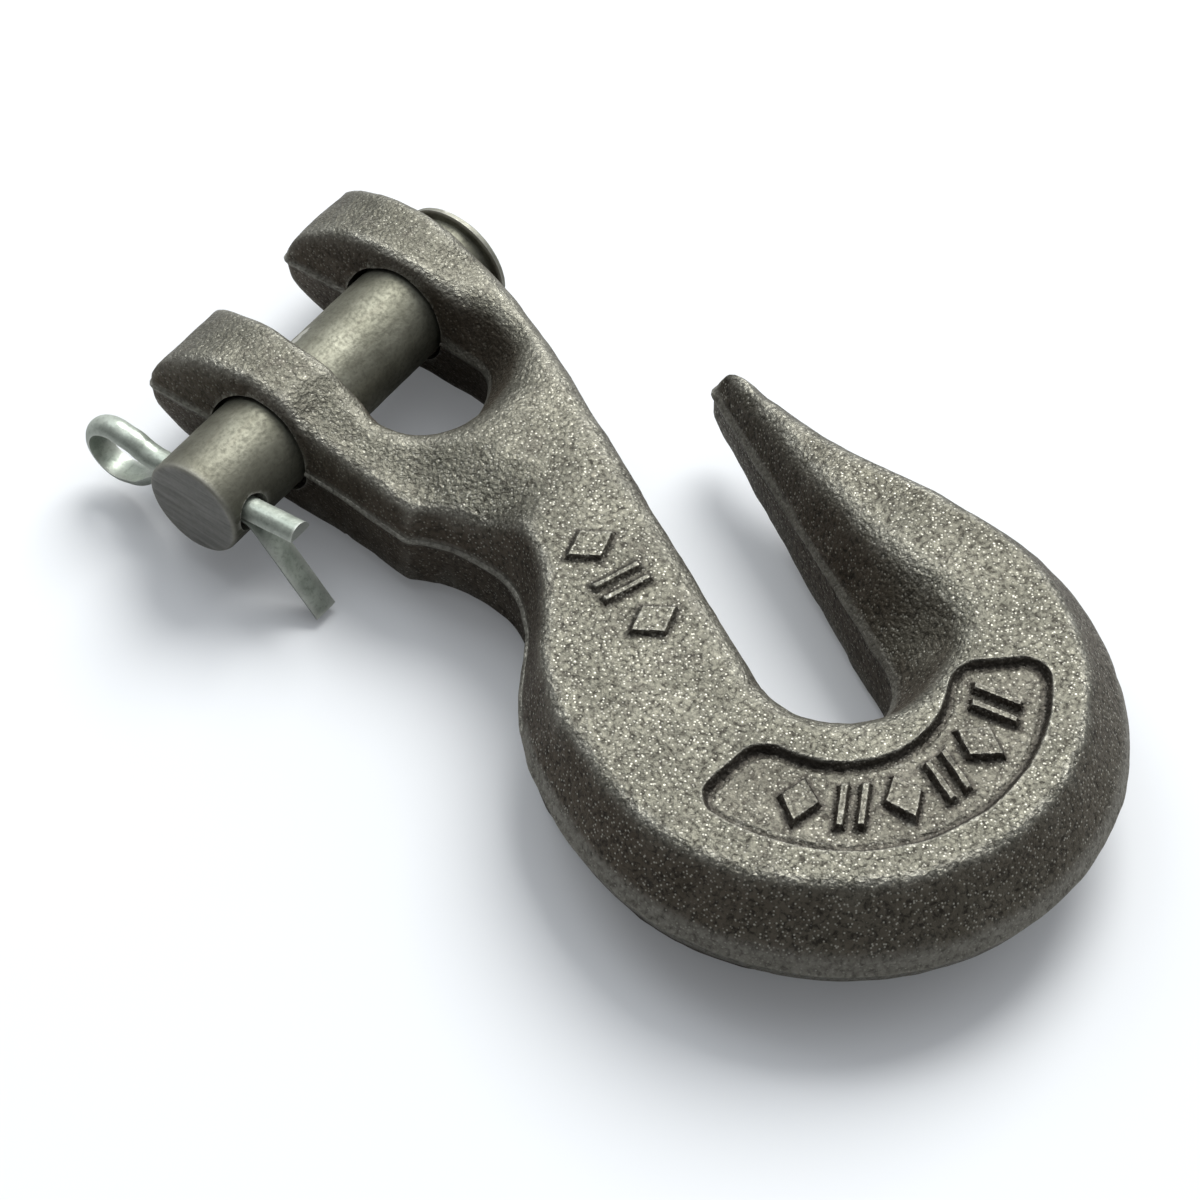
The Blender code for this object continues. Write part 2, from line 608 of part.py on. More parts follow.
def turned(profile, segments):
    """A closed body turned about X from (x, radius) points, both ends on the axis."""
    mesh = bmesh.new()
    angles = [2 * math.pi * k / segments for k in range(segments)]
    rings = []
    for x, radius in profile:
        around = angles if radius else [0.0]
        size = radius * MM
        rings.append([
            mesh.verts.new((x * MM, size * math.cos(angle), size * math.sin(angle)))
            for angle in around
        ])
    for ring, after in zip(rings, rings[1:]):
        for k in range(segments):
            n = (k + 1) % segments
            if len(ring) == 1:
                mesh.faces.new((ring[0], after[k], after[n]))
            elif len(after) == 1:
                mesh.faces.new((ring[k], after[0], ring[n]))
            else:
                mesh.faces.new((ring[k], after[k], after[n], ring[n]))
    return mesh


# === Clevis pin: low round head, plain shank, cross hole near the far end ===
def pin_profile():
    profile = [(PIN_END_X, 0)]
    profile += [(PIN_END_X + along, PIN_R - lost) for along, lost in PIN_END_EDGE]
    profile += [(x, PIN_R) for x in (*PIN_STATIONS, HEAD_X)]
    profile += [(HEAD_X, HEAD_R - HEAD_CHAMFER), (HEAD_X + HEAD_CHAMFER, HEAD_R)]
    for k in range(HEAD_ROUNDING_STEPS + 1):
        angle = QUARTER * k / HEAD_ROUNDING_STEPS
        x = HEAD_X + HEAD_RIM + (HEAD_T - HEAD_RIM) * math.sin(angle)
        profile.append((x, HEAD_FACE_R + (HEAD_R - HEAD_FACE_R) * math.cos(angle)))
    return profile + [(HEAD_X + HEAD_T, 0)]


def build_pin(frame):
    pin = finished(turned(pin_profile(), segments=64), "clevis_pin", PIN_STEEL)
    pin.parent = frame
    place = Matrix.Translation(MIDDLE + Vector((CROSS_X * MM, 0, 0)))
    across = place @ Matrix.Rotation(COTTER_TILT - QUARTER, 4, "X")
    drill(pin, "cross_hole", radius=CROSS_R, length=40, matrix=across, segments=36)


# === Split pin: one half-round wire, folded flat to flat, with an eye at one end and one leg
# longer and bent away ===
# (position along the split pin, distance outwards from the leg's straight flat side)
UPPER_LEG = [
    (SHORT_LEG_END, 0.3), (-10.0, 0.22), (-8.0, 0.12), (-6.0, 0.03), (-4.0, 0.0), (0.0, 0.0),
    (4.0, 0.0), (6.4, 0.0), (7.8, 0.05), (9.2, 0.4), (10.4, 0.95),
]
LOWER_LEG = [
    (6.7, 0.35), (5.6, 0.0), (4.0, 0.0), (0.0, 0.0), (-4.0, 0.0), (-5.0, 0.02), (-5.9, 0.35),
]
# (position along the split pin, height) from the eye to the lower leg
EYE_NECK = [(10.3, -3.35), (9.0, -2.3), (7.8, -1.2)]
LONG_LEG_SHARES = (0.0, 0.15, 0.4, 0.7, 1.0)    # places along its bent end


def cotter_path():
    """The wire's flat side as (along, height) points, along counted from the clevis pin's axis
    towards the eye."""
    path = [(along, LEG_SPLIT + out) for along, out in UPPER_LEG]
    for k in range(EYE_STEPS + 1):
        angle = math.radians(EYE_SWEEP - 2 * EYE_SWEEP * k / EYE_STEPS)
        height = EYE_DROP + EYE_TALL * math.sin(angle)
        path.append((EYE_U + EYE_LONG * math.cos(angle), height))
    path += EYE_NECK
    path += [(along, -LEG_SPLIT - out) for along, out in LOWER_LEG]
    path += [mixed(LONG_LEG_BEND, LONG_LEG_END, share) for share in LONG_LEG_SHARES]
    return path


def build_cotter(frame):
    knots = cotter_path()
    path = through(knots, COTTER_STEP) + [np.array(knots[-1])]
    mesh = bmesh.new()
    sections = []
    for k, point in enumerate(path):
        ahead = path[min(k + 1, len(path) - 1)] - path[max(k - 1, 0)]
        ahead /= np.linalg.norm(ahead)
        out = np.array([-ahead[1], ahead[0]])    # away from the other leg and out of the eye
        ring = []
        for j in range(COTTER_ACROSS):
            angle = math.pi * j / (COTTER_ACROSS - 1)
            narrowing = FLAT_CORNER if j in (0, COTTER_ACROSS - 1) else 1
            x = WIRE_R * math.cos(angle) * narrowing
            y, z = point + out * (WIRE_R - LEG_SPLIT) * math.sin(angle)
            ring.append(mesh.verts.new((x * MM, y * MM, z * MM)))
        sections.append(ring)
    for ring, after in zip(sections, sections[1:]):
        for j in range(COTTER_ACROSS):
            n = (j + 1) % COTTER_ACROSS
            mesh.faces.new((ring[j], ring[n], after[n], after[j]))
    mesh.faces.new(sections[0])
    mesh.faces.new(list(reversed(sections[-1])))
    finished(mesh, "cotter_pin", ZINC_STEEL).parent = frame


def main():
    for obj in list(bpy.data.objects):
        bpy.data.objects.remove(obj, do_unlink=True)
    build_hook()
    pin_axis = linked("pin_axis", None)
    pin_axis.location = MIDDLE
    build_pin(pin_axis)
    cotter_axis = linked("cotter_axis", None)
    cotter_axis.location = (CROSS_X * MM, 0, 0)
    cotter_axis.rotation_euler = (COTTER_TILT, 0, 0)
    cotter_axis.parent = pin_axis
    build_cotter(cotter_axis)


main()
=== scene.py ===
"""Looks of a clevis grab hook: the forging, its clevis pin and the split pin.

The forging lies flat with its parting line in z = 0. The clevis opens towards +y, the bowl is at
-y, and the hook's tip is on the +x side. "Left" is -x, "right" is +x and "top" is +z. Lengths are
millimetres, with x counted from the middle of the clevis gap, and become metres when the meshes
are made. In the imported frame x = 0 is the clevis pin's sawn end. Stage, lights and camera are in
metres.
"""

import math
from functools import cached_property

import bmesh
import bpy
import numpy as np
from mathutils import Matrix, Vector, noise
from mathutils.geometry import delaunay_2d_cdt

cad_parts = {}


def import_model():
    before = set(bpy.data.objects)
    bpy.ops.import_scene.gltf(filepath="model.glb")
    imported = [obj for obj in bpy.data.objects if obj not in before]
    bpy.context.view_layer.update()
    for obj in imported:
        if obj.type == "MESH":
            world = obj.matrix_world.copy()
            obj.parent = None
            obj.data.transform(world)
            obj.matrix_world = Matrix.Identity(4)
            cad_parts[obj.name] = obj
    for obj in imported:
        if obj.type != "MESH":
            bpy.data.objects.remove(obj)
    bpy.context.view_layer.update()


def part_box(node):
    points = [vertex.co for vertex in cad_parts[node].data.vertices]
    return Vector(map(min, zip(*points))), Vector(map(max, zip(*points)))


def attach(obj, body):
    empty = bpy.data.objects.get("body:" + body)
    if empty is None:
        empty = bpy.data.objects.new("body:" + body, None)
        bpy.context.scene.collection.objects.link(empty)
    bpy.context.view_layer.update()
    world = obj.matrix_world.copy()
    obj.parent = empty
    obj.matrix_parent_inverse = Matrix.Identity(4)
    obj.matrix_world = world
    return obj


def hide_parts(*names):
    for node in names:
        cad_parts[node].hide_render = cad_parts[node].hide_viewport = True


MM = 0.001

# --- clevis ---
EAR_LEFT, EAR_RIGHT = -16.6, 16.7
EAR_LEFT_NOSE = -17.3
NOSE_Y = 15.0
GAP_HALF, GAP_HALF_NOSE = 6.4, 5.4
NOSE_CORNER = 1.1
EAR_CENTRE_Y, EAR_HALF = 2.7, 8.2
GAP_CENTRE_Y = -10.3
GAP_BOTTOM_Y = -15.4
GAP_TAPER_Y = -4.0                # the gap widens from here to the nose
PIN_HOLE_R = 6.1

# --- bowl, slot and tip ---
BOWL_X, BOWL_Y, BOWL_R = -8.25, -67.2, 30.6
SLOT_ANGLE = math.radians(28.2)   # lean of the slot from the y axis
SEAT_X, SEAT_Y, SLOT_HALF = -5.3, -65.1, 6.25
SHANK_TOP_Y = -23.5               # upper end of the slot's straight left side
TIP_INNER_Y = -34.9               # upper end of its right side
TIP_Y = -32.7
BODY_HALF = 8.6                   # half thickness
TIP_HALF = 4.2

# --- sunk pad and raised marks, both on the top face ---
PAD_R, PAD_HALF, PAD_CORNER, PAD_DEPTH = 16.25, 5.25, 3.0, 0.8
PAD_MIDDLE, PAD_SPREAD = math.radians(243.2), math.radians(70.3)
MARK_HEIGHT, MARK_SOFT = 0.88, 0.34
PAD_MARK_R = 16.1
PAD_MARK_START, PAD_MARK_PITCH = 201.5, 18.5    # degrees round the bowl
SHANK_MARKS = (-12.8, -44.2)      # middle of the short row of marks on the shank
SHANK_ALONG = (-0.33, -0.944)
SHANK_MARK_PITCH = 5.6

# --- clevis pin ---
PIN_R = 5.75
PIN_END_X = -27.2
HEAD_X, HEAD_R, HEAD_T = 17.0, 6.8, 1.25
HEAD_RIM, HEAD_FLAT_R = 0.6, 4.6  # thickness of the rim, radius of the flat crown
CROSS_X, CROSS_R = -23.9, 2.1
COTTER_TILT = math.radians(-7)

# --- split pin ---
WIRE_R = 1.52
LEG_SPLIT = 0.1
EYE_U, EYE_DROP, EYE_LONG, EYE_TALL = 12.9, -1.3, 2.95, 2.75
SHORT_LEG_END = -12.0
LONG_LEG_BEND, LONG_LEG_END = (-7.1, -1.2), (-14.1, -10.1)

# --- mesh resolution ---
OUTLINE_STEP, COTTER_STEP = 0.8, 0.22
PIN_SEGMENTS = 128
CROSS_SEGMENTS = 64

MIDDLE = Vector((-PIN_END_X * MM, 0, 0))


# ================================================================================================
# Outline of the forging and the profiles of its walls
# ================================================================================================
# Wall profiles: width and height of the flash land, slope of the wall above it, top edge radius
CLEVIS_SIDE = (0.3, 1.0, 8.0, 1.7)
GAP_SIDE = (0.35, 0.9, 6.0, 1.6)
GAP_END = (0.35, 0.9, 1.9, 4.2)    # the top face rolls down into the bottom of the gap
WAIST = (0.45, 1.0, 7.0, 1.7)
BOWL_RIM = (0.6, 1.75, 1.42, 1.9)
BOWL_LEFT = (0.55, 1.5, 2.4, 1.9)
ARM_BACK = (0.6, 1.6, 1.5, 3.2)
TIP_END = (0.5, 1.1, 2.2, 2.2)
TIP_INSIDE = (0.35, 0.9, 3.4, 2.6)
ARM_ROOT = (0.45, 1.1, 1.05, 4.0)
SEAT = (0.45, 1.0, 2.6, 3.0)
SHANK_INSIDE = (0.5, 1.1, 3.0, 3.2)
STEEP = (0.3, 0.9, 25.0, 1.0)
WAIST_LOW = (0.45, 1.0, 12.0, 1.2)

# Flash bead at the foot of a wall: (share of the land's width, height) of its two corners
STEEP_SLOPE = 4.5
BEAD_STEEP = ((0.22, 0.28), (0.84, 0.40))
BEAD_GENTLE = ((0.12, 0.24), (0.34, 0.42))

# Free curves of the outline, as (x, y), in the order they are joined
EAR_LINE = [(EAR_LEFT, 1.0), (EAR_LEFT, -4.0), (-16.65, -9), (-16.8, -14), (-17.1, -18)]
WAIST_LINE = [
    (-17.1, -18), (-17.1, -20.1), (-16.1, -21.9), (-15.1, -24.5),
    (-14.7, -28.3), (-14.95, -31.4), (-16.4, -34.2), (-18.8, -36.7),
]
SHOULDER_LINE = [(-18.8, -36.7), (-21.9, -38.7), (-25.3, -40.8), (-28.7, -43.6), (-31.9, -47.2)]
ARM_LINE = [
    (22.4, -62.3), (22.1, -58.3), (21.6, -54.3), (21.3, -50.3),
    (21.4, -46.3), (21.8, -42.3), (22.3, -38.7),
]
TIP_LINE = [(22.3, -38.7), (22.5, -35.9), (21.9, -33.8), (20.5, TIP_Y), (19.1, -33.0)]
SHANK_LINE = [
    (12.2, -18.2), (14.0, -13.7), (15.3, -9.6), (16.1, -5.6), (16.5, -2.0), (EAR_RIGHT, 2.0),
]


def through(points, step=OUTLINE_STEP):
    """Points of a smooth curve through the given ones, without the last."""
    knots = [np.array(point, float) for point in points]
    knots = [2 * knots[0] - knots[1]] + knots + [2 * knots[-1] - knots[-2]]
    out = []
    for before, start, end, after in zip(knots, knots[1:], knots[2:], knots[3:]):
        count = max(1, round(np.linalg.norm(end - start) / step))
        for k in range(count):
            t = k / count
            square = (2 * before - 5 * start + 4 * end - after) * t**2
            cube = (3 * start - before - 3 * end + after) * t**3
            out.append(0.5 * (2 * start + (end - before) * t + square + cube))
    return out


def line(start, end):
    count = max(1, round(math.dist(start, end) / OUTLINE_STEP))
    start, end = np.array(start, float), np.array(end, float)
    return [start + (end - start) * k / count for k in range(count)]


def arc(centre_x, centre_y, radius_x, radius_y, start, end, power=2.0):
    """Arc of an ellipse, or of a squarer oval when the power is over 2."""
    count = max(3, round(abs(end - start) * max(radius_x, radius_y) / OUTLINE_STEP))
    out = []
    for k in range(count):
        angle = start + (end - start) * k / count
        cosine, sine = math.cos(angle), math.sin(angle)
        x = centre_x + radius_x * math.copysign(abs(cosine) ** (2 / power), cosine)
        y = centre_y + radius_y * math.copysign(abs(sine) ** (2 / power), sine)
        out.append(np.array([x, y]))
    return out


def nose_corner(x, start, end):
    return arc(x, NOSE_Y - NOSE_CORNER, NOSE_CORNER, NOSE_CORNER, start, end)


def on_bowl(angle):
    return (BOWL_X + BOWL_R * math.cos(angle), BOWL_Y + BOWL_R * math.sin(angle))


def mixed(first, second, share):
    return tuple(a + (b - a) * share for a, b in zip(first, second))


def outline():
    """(points, top profiles, low profiles) counter-clockwise round the forging."""
    along = np.array([-math.sin(SLOT_ANGLE), -math.cos(SLOT_ANGLE)])
    across = np.array([math.cos(SLOT_ANGLE), -math.sin(SLOT_ANGLE)])
    seat = np.array([SEAT_X, SEAT_Y])
    tip_foot, shank_foot = seat + SLOT_HALF * across, seat - SLOT_HALF * across
    tip_inner = tip_foot - along * ((tip_foot[1] - TIP_INNER_Y) / along[1])
    shank_top = shank_foot - along * ((shank_foot[1] - SHANK_TOP_Y) / along[1])
    tip_middle = tip_inner + (tip_foot - tip_inner) * 0.45
    quarter = math.pi / 2
    corner, corner_y = NOSE_CORNER, NOSE_Y - NOSE_CORNER
    parts = []

    def add(points, top, top_end=None, low=None, low_start=None):
        """Adds points whose profiles fade from start to end; the low side copies the top."""
        for k, point in enumerate(points):
            share = k / len(points)
            form = top if top_end is None else mixed(top, top_end, share)
            under = low or form
            if low_start is not None:
                under = mixed(low_start, under, share)
            parts.append((point, form, under))

    # left ear, waist and shoulder
    add(line((-GAP_HALF_NOSE - corner, NOSE_Y), (EAR_LEFT_NOSE + corner, NOSE_Y)), CLEVIS_SIDE)
    add(nose_corner(EAR_LEFT_NOSE + corner, quarter, math.pi), CLEVIS_SIDE)
    add(line((EAR_LEFT_NOSE, corner_y), EAR_LINE[0]), CLEVIS_SIDE)
    add(through(EAR_LINE), CLEVIS_SIDE, WAIST, WAIST_LOW)
    add(through(WAIST_LINE), WAIST, low=WAIST_LOW)
    start, left, end = math.radians(150), math.radians(212), math.radians(362)
    add(through(SHOULDER_LINE + [on_bowl(start)]), WAIST, BOWL_LEFT, BOWL_LEFT, WAIST_LOW)
    # bowl, arm and tip
    add(arc(BOWL_X, BOWL_Y, BOWL_R, BOWL_R, start, left), BOWL_LEFT, BOWL_RIM)
    add(arc(BOWL_X, BOWL_Y, BOWL_R, BOWL_R, left, end), BOWL_RIM)
    add(through([on_bowl(end)] + ARM_LINE), BOWL_RIM, ARM_BACK)
    add(through(TIP_LINE + [tip_inner]), TIP_END, low=STEEP, low_start=ARM_BACK)
    # slot: down its right side, round the seat and up its left side
    add(line(tip_inner, tip_middle), TIP_INSIDE, low=STEEP)
    add(line(tip_middle, tip_foot), TIP_INSIDE, ARM_ROOT, STEEP)
    turn = math.atan2(across[1], across[0])
    add(arc(*seat, SLOT_HALF, SLOT_HALF, turn, turn - quarter), ARM_ROOT, SEAT, STEEP)
    add(
        arc(*seat, SLOT_HALF, SLOT_HALF, turn - quarter, turn - 2 * quarter),
        SEAT, SHANK_INSIDE, STEEP,
    )
    add(line(shank_foot, shank_top), SHANK_INSIDE, low_start=STEEP)
    # right ear
    add(through([tuple(shank_top)] + SHANK_LINE), SHANK_INSIDE, CLEVIS_SIDE)
    add(line(SHANK_LINE[-1], (EAR_RIGHT, corner_y)), CLEVIS_SIDE)
    add(nose_corner(EAR_RIGHT - corner, 0, quarter), CLEVIS_SIDE)
    add(line((EAR_RIGHT - corner, NOSE_Y), (GAP_HALF_NOSE + corner, NOSE_Y)), CLEVIS_SIDE)
    # gap: down its right side, round the bottom and up its left side
    add(nose_corner(GAP_HALF_NOSE + corner, quarter, math.pi), GAP_SIDE)
    add(line((GAP_HALF_NOSE, corner_y), (GAP_HALF, GAP_TAPER_Y)), GAP_SIDE)
    add(line((GAP_HALF, GAP_TAPER_Y), (GAP_HALF, GAP_CENTRE_Y)), GAP_SIDE, GAP_END, GAP_SIDE)
    bottom = arc(0, GAP_CENTRE_Y, GAP_HALF, GAP_CENTRE_Y - GAP_BOTTOM_Y, 0, -math.pi, power=2.3)
    add(bottom, GAP_END, low=GAP_SIDE)
    add(line((-GAP_HALF, GAP_CENTRE_Y), (-GAP_HALF, GAP_TAPER_Y)), GAP_END, GAP_SIDE, GAP_SIDE)
    add(line((-GAP_HALF, GAP_TAPER_Y), (-GAP_HALF_NOSE, corner_y)), GAP_SIDE)
    add(nose_corner(-GAP_HALF_NOSE - corner, 0, quarter), GAP_SIDE)
    return tuple(np.array(column) for column in zip(*parts))


# ================================================================================================
# Height of the forging's faces above the parting line
# ================================================================================================
TOP_DIP, LOW_DIP = 1.0, 0.15      # how far each face dips at the waist and ears

# Half thickness along y, as (y, half thickness)
BODY_KNOTS = [
    (-33.0, BODY_HALF), (-25.0, 7.9), (-18.0, 7.3), (-11.5, 7.5),
    (-6.0, 7.8), (-2.0, 8.15), (EAR_CENTRE_Y, EAR_HALF),
]
ARM_KNOTS = [(-65.3, BODY_HALF), (-55.3, 7.6), (-45.3, 6.1), (-37.3, 4.8), (TIP_Y, TIP_HALF)]
# Extra dips beside the middle: (y, depth), each with (distance from x = 0, share)
LEFT_DIP = [
    (-33.0, 0.0), (-27.0, 2.9), (-20.0, 2.7), (-11.0, 2.5), (-6.0, 2.0), (-1.0, 0.3), (1.5, 0.0),
]
LEFT_DIP_ACROSS = [(5.0, 0.0), (15.0, 1.0)]
RIGHT_DIP = [(-20.0, 0.0), (-13.0, 1.2), (-6.0, 1.2), (0.0, 0.0)]
RIGHT_DIP_ACROSS = [(5.0, 0.0), (14.0, 1.0)]
# Where the arm's thickness takes over: (distance right of the slot's middle, share), (y, share)
ARM_ACROSS = [(0.0, 0.0), (SLOT_HALF, 1.0)]
ARM_ALONG = [(-67.3, 0.0), (-61.3, 1.0)]


def eased(value, knots):
    """Smooth steps between (place, value) knots."""
    xs, ys = np.array(knots).T
    value = np.clip(value, xs[0], xs[-1])
    k = np.clip(np.searchsorted(xs, value, side="right") - 1, 0, len(xs) - 2)
    t = (value - xs[k]) / (xs[k + 1] - xs[k])
    t = t * t * (3 - 2 * t)
    return ys[k] + (ys[k + 1] - ys[k]) * t


def plateau(x, y, dip):
    """Half thickness away from the walls."""
    ahead = np.clip((y - EAR_CENTRE_Y) / (NOSE_Y + 0.05 - EAR_CENTRE_Y), 0, 1)
    half = BODY_HALF + (EAR_HALF - BODY_HALF) * dip
    ear = half * np.sqrt(1 - ahead ** (2.05 + 0.9 * (1 - dip)))
    body = eased(y, BODY_KNOTS)
    body = BODY_HALF + (body - BODY_HALF) * np.where(body < BODY_HALF, dip, 1.0)
    body = body - dip * eased(y, LEFT_DIP) * eased(-x, LEFT_DIP_ACROSS)
    body = body - dip * eased(y, RIGHT_DIP) * eased(x, RIGHT_DIP_ACROSS)
    arm = eased(y, ARM_KNOTS)
    side = (x - SEAT_X) * math.cos(SLOT_ANGLE) - (y - SEAT_Y) * math.sin(SLOT_ANGLE)
    on_arm = eased(side, ARM_ACROSS) * eased(y, ARM_ALONG)
    return np.where(y > EAR_CENTRE_Y, ear, body + (arm - body) * on_arm)


def top_edge(height, form):
    """Distance from the outline to the rounded edge's centre, and the round's width."""
    land, foot, slope, radius = form
    cosine = slope / np.sqrt(1 + slope * slope)
    return land + (height - radius - foot) / slope + radius / cosine, radius * cosine


def bead_corners(slope):
    steep = slope > STEEP_SLOPE
    return [
        [np.where(steep, a, b) for a, b in zip(*corners)]
        for corners in zip(BEAD_STEEP, BEAD_GENTLE)
    ]


def profile_height(distance, height, form):
    land, foot, slope, radius = form
    room = np.maximum(height - foot, 0.1) / (1 - 1 / np.sqrt(1 + slope * slope) + 1e-9) * 0.8
    radius = np.minimum(radius, room)
    centre, reach = top_edge(height, (land, foot, slope, radius))
    # a thin bead of flash stands out from the foot of the wall
    (share_1, z_1), (share_2, z_2) = bead_corners(slope)
    t = distance / land
    middle = z_1 + (z_2 - z_1) * (t - share_1) / (share_2 - share_1)
    last = z_2 + (foot - z_2) * (t - share_2) / (1 - share_2)
    bead = np.where(t < share_1, z_1 * t / share_1, np.where(t < share_2, middle, last))
    wall = np.where(distance < land, bead, foot + (distance - land) * slope)
    rounded = height - radius + np.sqrt(np.maximum(radius**2 - (centre - distance) ** 2, 0))
    beside = np.where(distance > centre - reach, rounded, np.minimum(wall, height))
    return np.where(distance >= centre, height, beside)


def bell(value, middle, width):
    return np.exp(-(((value - middle) / width) ** 2))


def edge_distances(points, loop):
    """Distance from every point to every segment of the loop."""
    ahead = np.roll(loop, -1, axis=0) - loop
    away = points[:, None, :] - loop[None]
    t = np.clip((away * ahead).sum(2) / (ahead * ahead).sum(1), 0, 1)
    return np.linalg.norm(away - t[..., None] * ahead, axis=2)


def surface(points, loop, forms, dip):
    """Height, distance to the outline, height of the flash, and nearness to the top edge."""
    block_size, neighbours = 2500, 90
    forms = 0.5 * (forms + np.roll(forms, -1, axis=0))
    blocks = []
    for k in range(0, len(points), block_size):
        block = points[k : k + block_size]
        distances = edge_distances(block, loop)
        height = plateau(block[:, 0], block[:, 1], dip)
        near = np.argpartition(distances, neighbours, axis=1)[:, :neighbours]
        close = np.take_along_axis(distances, near, axis=1)
        z = profile_height(close, height[:, None], forms.T[:, near]).min(axis=1)
        nearest = distances.min(axis=1)
        form = forms[distances.argmin(axis=1)].T
        _, foot, slope, radius = form
        flash = np.where(slope > STEEP_SLOPE, 0.42, foot * 1.02)
        centre, reach = top_edge(height, form)
        ridge = bell((centre - nearest) / reach, 0.52, 0.3) * np.clip((4.4 - radius) / 2.4, 0, 1)
        blocks.append((z, nearest, flash, ridge))
    return tuple(np.concatenate(each) for each in zip(*blocks))


def inside(points, loop):
    x, y = loop[:, 0], loop[:, 1]
    next_x, next_y = np.roll(x, -1), np.roll(y, -1)
    found = []
    for k in range(0, len(points), 5000):
        at_x, at_y = points[k : k + 5000, :1], points[k : k + 5000, 1:]
        before_line = at_x < (next_x - x) * (at_y - y) / (next_y - y + 1e-12) + x
        crosses = ((y > at_y) != (next_y > at_y)) & before_line
        found.append(crosses.sum(axis=1) % 2 == 1)
    return np.concatenate(found)


# ================================================================================================
# Sunk pad and raised marks: lozenges and pairs of bars with soft edges
# ================================================================================================
def pad_distance(x, y):
    """Distance inside the border of the pad, a curved and rounded strip."""
    r = np.hypot(x - BOWL_X, y - BOWL_Y)
    angle = np.arctan2(y - BOWL_Y, x - BOWL_X) - PAD_MIDDLE
    angle = np.abs((angle + math.pi) % (2 * math.pi) - math.pi)
    over_side = np.abs(r - PAD_R) - PAD_HALF + PAD_CORNER
    over_end = (angle - PAD_SPREAD) * r + PAD_CORNER
    corner = np.hypot(np.maximum(over_side, 0), np.maximum(over_end, 0))
    return PAD_CORNER - corner - np.minimum(np.maximum(over_side, over_end), 0)


def soft(distance, width):
    """1 well inside a shape and 0 outside it, from the distance inside its border."""
    t = np.clip(distance / width + 0.5, 0, 1)
    return t * t * (3 - 2 * t)


def lozenge(u, v, half_u, half_v):
    size = math.hypot(half_u, half_v)
    return (half_u * half_v - half_v * np.abs(u) - half_u * np.abs(v)) / size


def bar(u, v, half_u, half_v):
    return np.minimum(half_u - np.abs(u), half_v - np.abs(v))


def bar_pair(u, v, offset, half_u, half_v):
    return np.maximum(bar(u - offset, v, half_u, half_v), bar(u + offset, v, half_u, half_v))


def shank_place(x, y):
    """Places along and across the row of marks on the shank."""
    along_x, along_y = SHANK_ALONG
    from_x, from_y = x - SHANK_MARKS[0], y - SHANK_MARKS[1]
    return from_x * along_x + from_y * along_y, -from_x * along_y + from_y * along_x


def marks(x, y):
    """(height, nearness to the foot) of the raised marks."""
    shapes = []    # (distance inside the border, share of the full height)
    r = np.hypot(x - BOWL_X, y - BOWL_Y)
    angle = np.arctan2(y - BOWL_Y, x - BOWL_X) % (2 * math.pi)
    for k in range(6):
        u = (angle - math.radians(PAD_MARK_START + PAD_MARK_PITCH * k)) * r
        v = r - PAD_MARK_R
        if k % 2 == 0:
            shapes.append((lozenge(u, v, 2.25, 3.0), 1.0))
        else:
            lean = u + 0.22 * v
            shapes.append((bar_pair(lean, v, offset=1.05, half_u=0.58, half_v=2.6), 1.0))
    along, across = shank_place(x, y)
    for k in (-1, 0, 1):
        u = along - SHANK_MARK_PITCH * k
        if k == 0:
            shapes.append((bar_pair(u, across, offset=0.95, half_u=0.5, half_v=2.9), 0.68))
        else:
            shapes.append((lozenge(u, across, 2.2, 3.1), 0.68))
    height, foot = np.zeros_like(x), np.zeros_like(x)
    for shape, share in shapes:
        height = np.maximum(height, soft(shape, MARK_SOFT) * share)
        foot = np.maximum(foot, 1 - np.abs(shape + 0.22) / 0.36)
    return height * MARK_HEIGHT, foot


# ================================================================================================
# Forging
# ================================================================================================
def add_spaced(points, gap, kept, cells):
    """Adds the points that lie at least a gap away from those already kept."""
    size = 0.45    # no smaller than the widest gap
    for point in points:
        column, row = math.floor(point[0] / size), math.floor(point[1] / size)
        others = (
            other
            for i in (column - 1, column, column + 1)
            for j in (row - 1, row, row + 1)
            for other in cells.get((i, j), ())
        )
        if all((point[0] - x) ** 2 + (point[1] - y) ** 2 >= gap * gap for x, y in others):
            kept.append((point[0], point[1]))
            cells.setdefault((column, row), []).append((point[0], point[1]))


def add_rings(loop, forms, dip, wanted, kept, cells):
    """Adds rings of points that follow the outline down the land, wall and top edge."""
    tangent = np.roll(loop, -1, axis=0) - np.roll(loop, 1, axis=0)
    tangent /= np.linalg.norm(tangent, axis=1)[:, None]
    inward = np.stack([-tangent[:, 1], tangent[:, 0]], axis=1)
    height = plateau(loop[:, 0] + 2.5 * inward[:, 0], loop[:, 1] + 2.5 * inward[:, 1], dip)
    land, _, slope, _ = forms.T
    centre, reach = top_edge(height, forms.T)
    wall_top = centre - reach
    (share_1, _), (share_2, _) = bead_corners(slope)
    # (distance from the outline, gap between points)
    rows = [(land * share, 0.045) for share in (share_1, share_2, 1.0)]
    rows += [
        (land + (wall_top - land) * share, 0.085) for share in (0.16, 0.32, 0.48, 0.64, 0.82, 1.0)
    ]
    rows += [(centre - reach * share, 0.16) for share in (0.86, 0.7, 0.52, 0.34, 0.16)]
    rows += [(centre + 0.1, 0.16)]
    for offset, gap in rows:
        ring = loop + inward * offset[:, None]
        own = edge_distances(ring, loop).min(axis=1)
        # where the outline curls in tightly, a ring would come too near another part of it
        good = wanted & (own > 0.95 * offset) & (own > 0.05)
        add_spaced(ring[good], gap, kept, cells)


def around_marks(grid):
    x, y = grid[:, 0], grid[:, 1]
    along, across = shank_place(x, y)
    return (pad_distance(x, y) > -0.9) | ((np.abs(along) < 8.6) & (np.abs(across) < 3.7))


